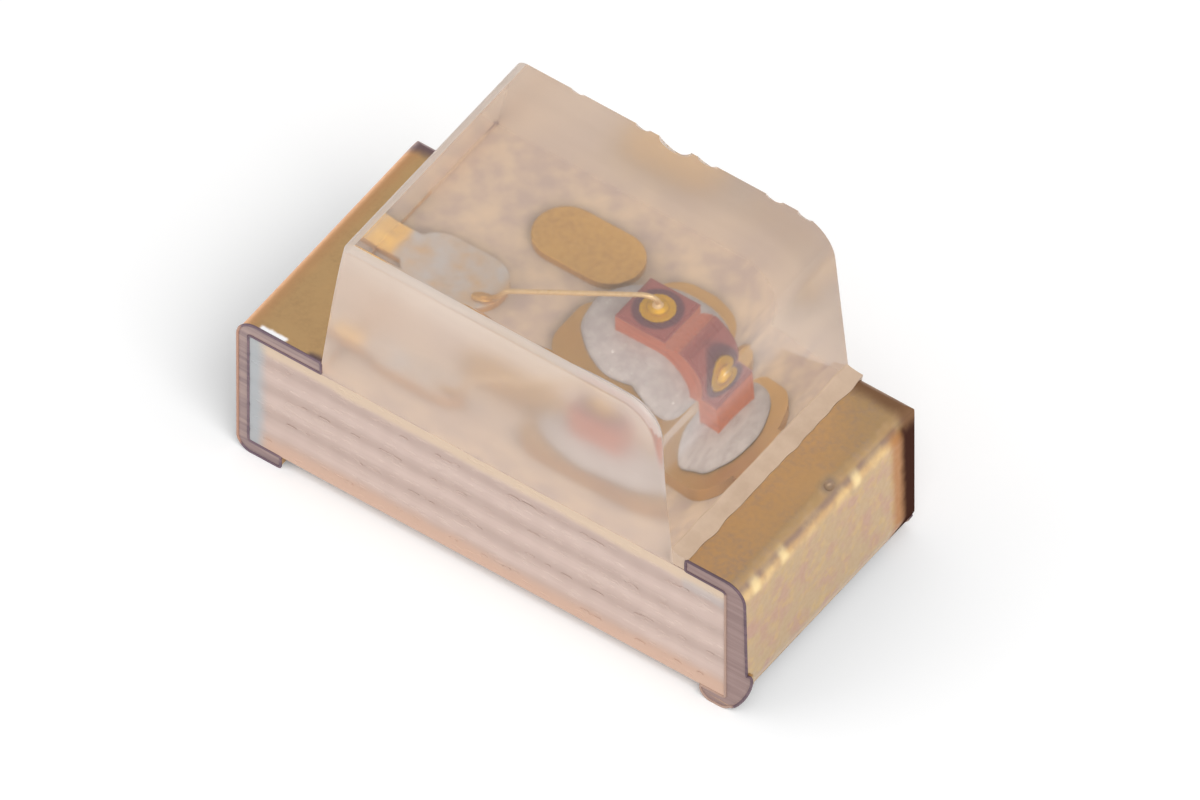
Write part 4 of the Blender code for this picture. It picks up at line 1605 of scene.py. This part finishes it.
def finishes(groups: Groups) -> Materials:
    """Make every finish's material.

    Args:
        groups: The shared shader groups.

    Returns:
        The materials by name.
    """
    board_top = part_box("substrate")[1].z / MM
    die_low, die_high = (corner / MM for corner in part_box("led_die"))
    left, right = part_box("left_terminal")[0].x / MM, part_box("right_terminal")[1].x / MM
    back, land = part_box("left_terminal")[1].y / MM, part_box("left_terminal")[1].z / MM
    light_ply = board_top - 0.018
    board_patches = (
        Patch((0.69, 0.53, 0.385), z=(board_top - 0.04, FAR), soft=0.014, wander=0.012, scale=9.0, share=0.9),
        Patch((0.64, 0.42, 0.31), z=(-FAR, 0.1), soft=0.03, wander=0.025, scale=6.0, share=0.85),
        Patch((0.42, 0.45, 0.47), x=(-FAR, left + 0.08), soft=0.022, wander=0.01, share=0.9),
        Patch((0.5, 0.46, 0.45), x=(0.6, FAR), z=(board_top - 0.07, board_top - 0.03), soft=0.012, share=0.5),
    )
    left_patches = (
        # painted highlight: brighter orange along the rounded outer end of the left land
        Patch((0.86, 0.46, 0.22), x=(-FAR, left + 0.05), z=(land - 0.06, FAR), soft=0.03),
        Patch((0.7, 0.67, 0.68), x=(-0.51, -0.2), y=(-0.3, 0.1), z=(land - 0.005, FAR), soft=0.02, wander=0.03,
              scale=14.0, metallic=0.8),
        # a real exposed gold spot on the neck's top, painted brighter as a highlight
        Patch((1.0, 0.62, 0.2), x=(-0.56, -0.508), y=(-0.3, 0.1), z=(land - 0.004, FAR), soft=0.016, wander=0.02,
              metallic=0.3),
        *(Patch((0.73, 0.54, 0.385), x=(-0.57, -0.545), y=side, z=(-FAR, land - 0.003), soft=0.003, wander=0.0,
                metallic=0.0) for side in ((-FAR, -0.3), (0.1, FAR))),
        # painted shade: darker along the back edge of the left land's top
        Patch((0.3, 0.2, 0.2), y=(back - 0.05, FAR), z=(land - 0.03, FAR), soft=0.02),
        # painted shade: dark spot on the land's front edge next to the lens foot, where the lens is mirrored
        Patch((0.24, 0.16, 0.16), x=(-0.6, -0.55), y=(-FAR, 0.016 - back), z=(land - 0.01, FAR)),
        # painted highlight: white bar on the land's rounded front edge
        Patch((0.95, 0.95, 0.97), x=(-0.755, -0.672), y=(-FAR, 0.017 - back), z=(land - 0.01, FAR), soft=0.006,
              wander=0.006, scale=60.0, metallic=0.0),
    )
    # the second value holds Y places, in millimetres, of painted highlights on the right end wall
    face, painted_glint_spots = (right - 0.03, FAR), (-0.334, -0.209, 0.115, 0.318)
    right_patches = (
        Patch((0.64, 0.38, 0.14), x=(-FAR, 0.54), z=(land - 0.05, FAR), wander=0.0),
        Patch((0.61, 0.44, 0.27), x=face, z=(-FAR, land - 0.04), soft=0.015),
        Patch((0.6, 0.36, 0.28), x=face, z=(-FAR, land - 0.05), soft=0.015, scale=9.0, broken=0.55, share=0.8),
        Patch((0.68, 0.48, 0.23), x=face, z=(-FAR, land - 0.04), soft=0.015, scale=17.0, broken=0.58, share=0.7),
        # painted shade: thin dark line along the rounding between the land and the end wall
        Patch((0.44, 0.3, 0.26), x=(right - 0.046, right - 0.034), z=(land - 0.03, FAR), soft=0.006,
              wander=0.004, share=0.75),
        # painted highlights: broken bright yellow glint marks along the top of the end wall
        Patch((1.0, 0.74, 0.36), x=(right - 0.05, FAR), z=(land - 0.06, land - 0.01), soft=0.02, wander=0.016,
              scale=9.0, broken=0.53, share=0.4, metallic=0.6),
        # painted highlights: four round bright glint spots at the top of the end wall
        *(Patch((1.0, 0.78, 0.42), x=(right - 0.058, FAR), y=(spot - 0.015, spot + 0.015),
                z=(land - 0.05, land - 0.014), soft=0.012, wander=0.008, share=0.85, metallic=0.5)
          for spot in painted_glint_spots),
        # painted shade: dark, dull patch in the nick of the top edge
        Patch((0.2, 0.15, 0.13), x=(0.74, 0.782), y=(0.01, 0.062), z=(land - 0.02, FAR), soft=0.018, wander=0.008,
              share=0.85, metallic=0.0),
        # painted shade: orange-brown, then near black, on the back upright corner of the end wall
        Patch((0.52, 0.25, 0.1), x=(right - 0.06, FAR), y=(back - 0.13, FAR), z=(-FAR, land - 0.02), soft=0.02),
        Patch((0.06, 0.025, 0.018), x=(right - 0.08, FAR), y=(back - 0.088, FAR), z=(-FAR, land - 0.016),
              soft=0.02, metallic=0.0),
        # painted shade: darker brown along the back of the right land's top
        Patch((0.28, 0.15, 0.08), x=(0.55, FAR), y=(back - 0.06, FAR), z=(land - 0.03, FAR), soft=0.025,
              metallic=0.7),
    )
    left_layer = Patch((0.5, 0.28, 0.2), x=(-FAR, left + 0.012), soft=0.006, wander=0.0)
    right_layer = Patch((0.45, 0.3, 0.24), x=(-FAR, right - 0.06), z=(-FAR, land - 0.05), soft=0.006, wander=0.0)
    every: list[Finish] = [
        ResinFinish("resin_moulded", (0.96, 0.88, 0.79), (0.94, 0.86, 0.77), (0.06, 0.08), 0.89,
                    (0.97, 0.95, 0.92), 0.01 * UM, False),
        ResinFinish("resin_sawn", (0.88, 0.76, 0.66), (0.85, 0.735, 0.64), (0.29, 0.08), 0.75, (0.95, 0.92, 0.9),
                    0.03 * UM, True),
        ResinFinish("resin_worn", (0.82, 0.74, 0.68), (0.78, 0.7, 0.63), (0.45, 0.1), 0.5, (0.95, 0.92, 0.9),
                    0.03 * UM, True),
        GrainFinish("resin_flash", (0.61, 0.45, 0.33), (0.54, 0.39, 0.28), 80.0, 14.0, (0.3, 0.2), 0.6 * UM),
        PlatingFinish("plating_left", (0.84, 0.54, 0.26), (0.7, 0.44, 0.22), (0.3, 0.14), 60.0, 0.25 * UM,
                      left_patches),
        PlatingFinish("plating_right", (0.74, 0.48, 0.24), (0.62, 0.42, 0.28), (0.32, 0.14), 60.0, 0.4 * UM,
                      right_patches),
        PlatingFinish("plating_oval", (0.66, 0.39, 0.11), (0.54, 0.31, 0.1), (0.42, 0.14), 60.0, 0.3 * UM),
        SectionFinish("section_left", (0.42, 0.3, 0.27), (0.28, 0.2, 0.2)),
        SectionFinish("section_right", (0.34, 0.23, 0.21), (0.27, 0.18, 0.17)),
        SectionFinish("layers_left", (0.22, 0.14, 0.16), (0.15, 0.1, 0.13), (left_layer,)),
        SectionFinish("layers_right", (0.17, 0.1, 0.12), (0.11, 0.07, 0.09), (right_layer,)),
        LaminateFinish("laminate", (0.505, 0.375, 0.325), (0.635, 0.49, 0.43), (0.73, 0.54, 0.385), light_ply,
                       board_top, board_patches),
        LaminateFinish("yarn", (0.525, 0.395, 0.34), (0.655, 0.51, 0.445), (0.68, 0.49, 0.34), light_ply, FAR,
                       board_patches),
        GrainFinish("silver_epoxy", (0.55, 0.495, 0.495), (0.43, 0.38, 0.385), 120.0, 22.0, (0.6, 0.25), 1.2 * UM,
                    0.1),
        GrainFinish("silver_flake", (0.68, 0.66, 0.66), (0.5, 0.48, 0.48), 120.0, 22.0, (0.35, 0.25), 1.2 * UM,
                    0.9),
        DieFinish("red_crystal", (0.66, 0.16, 0.07), (0.42, 0.1, 0.06), (0.3, 0.07, 0.07), (0.1, 0.015, 0.04),
                  ((die_low.x + die_high.x) / 2, (die_low.y + die_high.y) / 2, 0.0), 0.064, die_high.z),
        PlatingFinish("electrode_gold", (0.67, 0.4, 0.005), (0.54, 0.31, 0.005), (0.6, 0.14), 90.0, 0.3 * UM),
        PlatingFinish("wire_gold", (0.84, 0.64, 0.38), (0.76, 0.55, 0.3), (0.5, 0.14), 90.0, 0.2 * UM, (
            Patch((0.6, 0.36, 0.14), x=(-FAR, -0.185), soft=0.02),)),
        GrainFinish("printed_resist", (0.05, 0.24, 0.11), (0.03, 0.15, 0.07), 90.0, 15.0, (0.35, 0.2), 2.0 * UM),
    ]
    return {finish.name: finish.material(groups) for finish in every}


def main() -> None:
    """Build the object, then the studio."""
    logging.basicConfig(level=logging.INFO, format="%(message)s")
    noise.seed_set(NOISE_SEED)
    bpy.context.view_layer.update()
    groups = Groups(grain_group(), saw_group(), patch_group(), plies_group())
    made = finishes(groups)
    pieces: list[Thing] = []
    pieces += Board().build(made)
    edge = 0.003 * MM
    for side in ("left", "right"):
        node, coats = side + "_terminal", ("plating_" + side, "section_" + side)
        terminal = Terminal(node, node + "_plated", "plated_gold", edge, coats, "layers_" + side)
        pieces.append(terminal.build(made))
        pieces.append(SectionLines().build(terminal.node, made[terminal.line]))
    for copy in (CadCopy("oval_pad", "oval_plated", "plated_gold", edge, ("plating_oval",)),
                 CadCopy("led_die", "die_crystal", "red_crystal", 0.0015 * MM, ("red_crystal",)),
                 CadCopy("die_electrode", "electrode", "electrode_gold", 0.001 * MM, ("electrode_gold",)),
                 CadCopy("polarity_mark", "mark", "printed_resist", 0.004 * MM, ("printed_resist",))):
        pieces.append(copy.build(made))
    pieces += DieAttach().build(made["silver_epoxy"], made["silver_flake"])
    pieces.append(Wire().build(made))
    pieces.append(Resin().build(made))
    pieces.append(Flash().build(made["resin_flash"]))
    for piece in pieces:
        log.info("%s: %d vertices", piece.name, len(piece.data.vertices))
    Studio().build(groups)


if __name__ == "__main__":
    main()
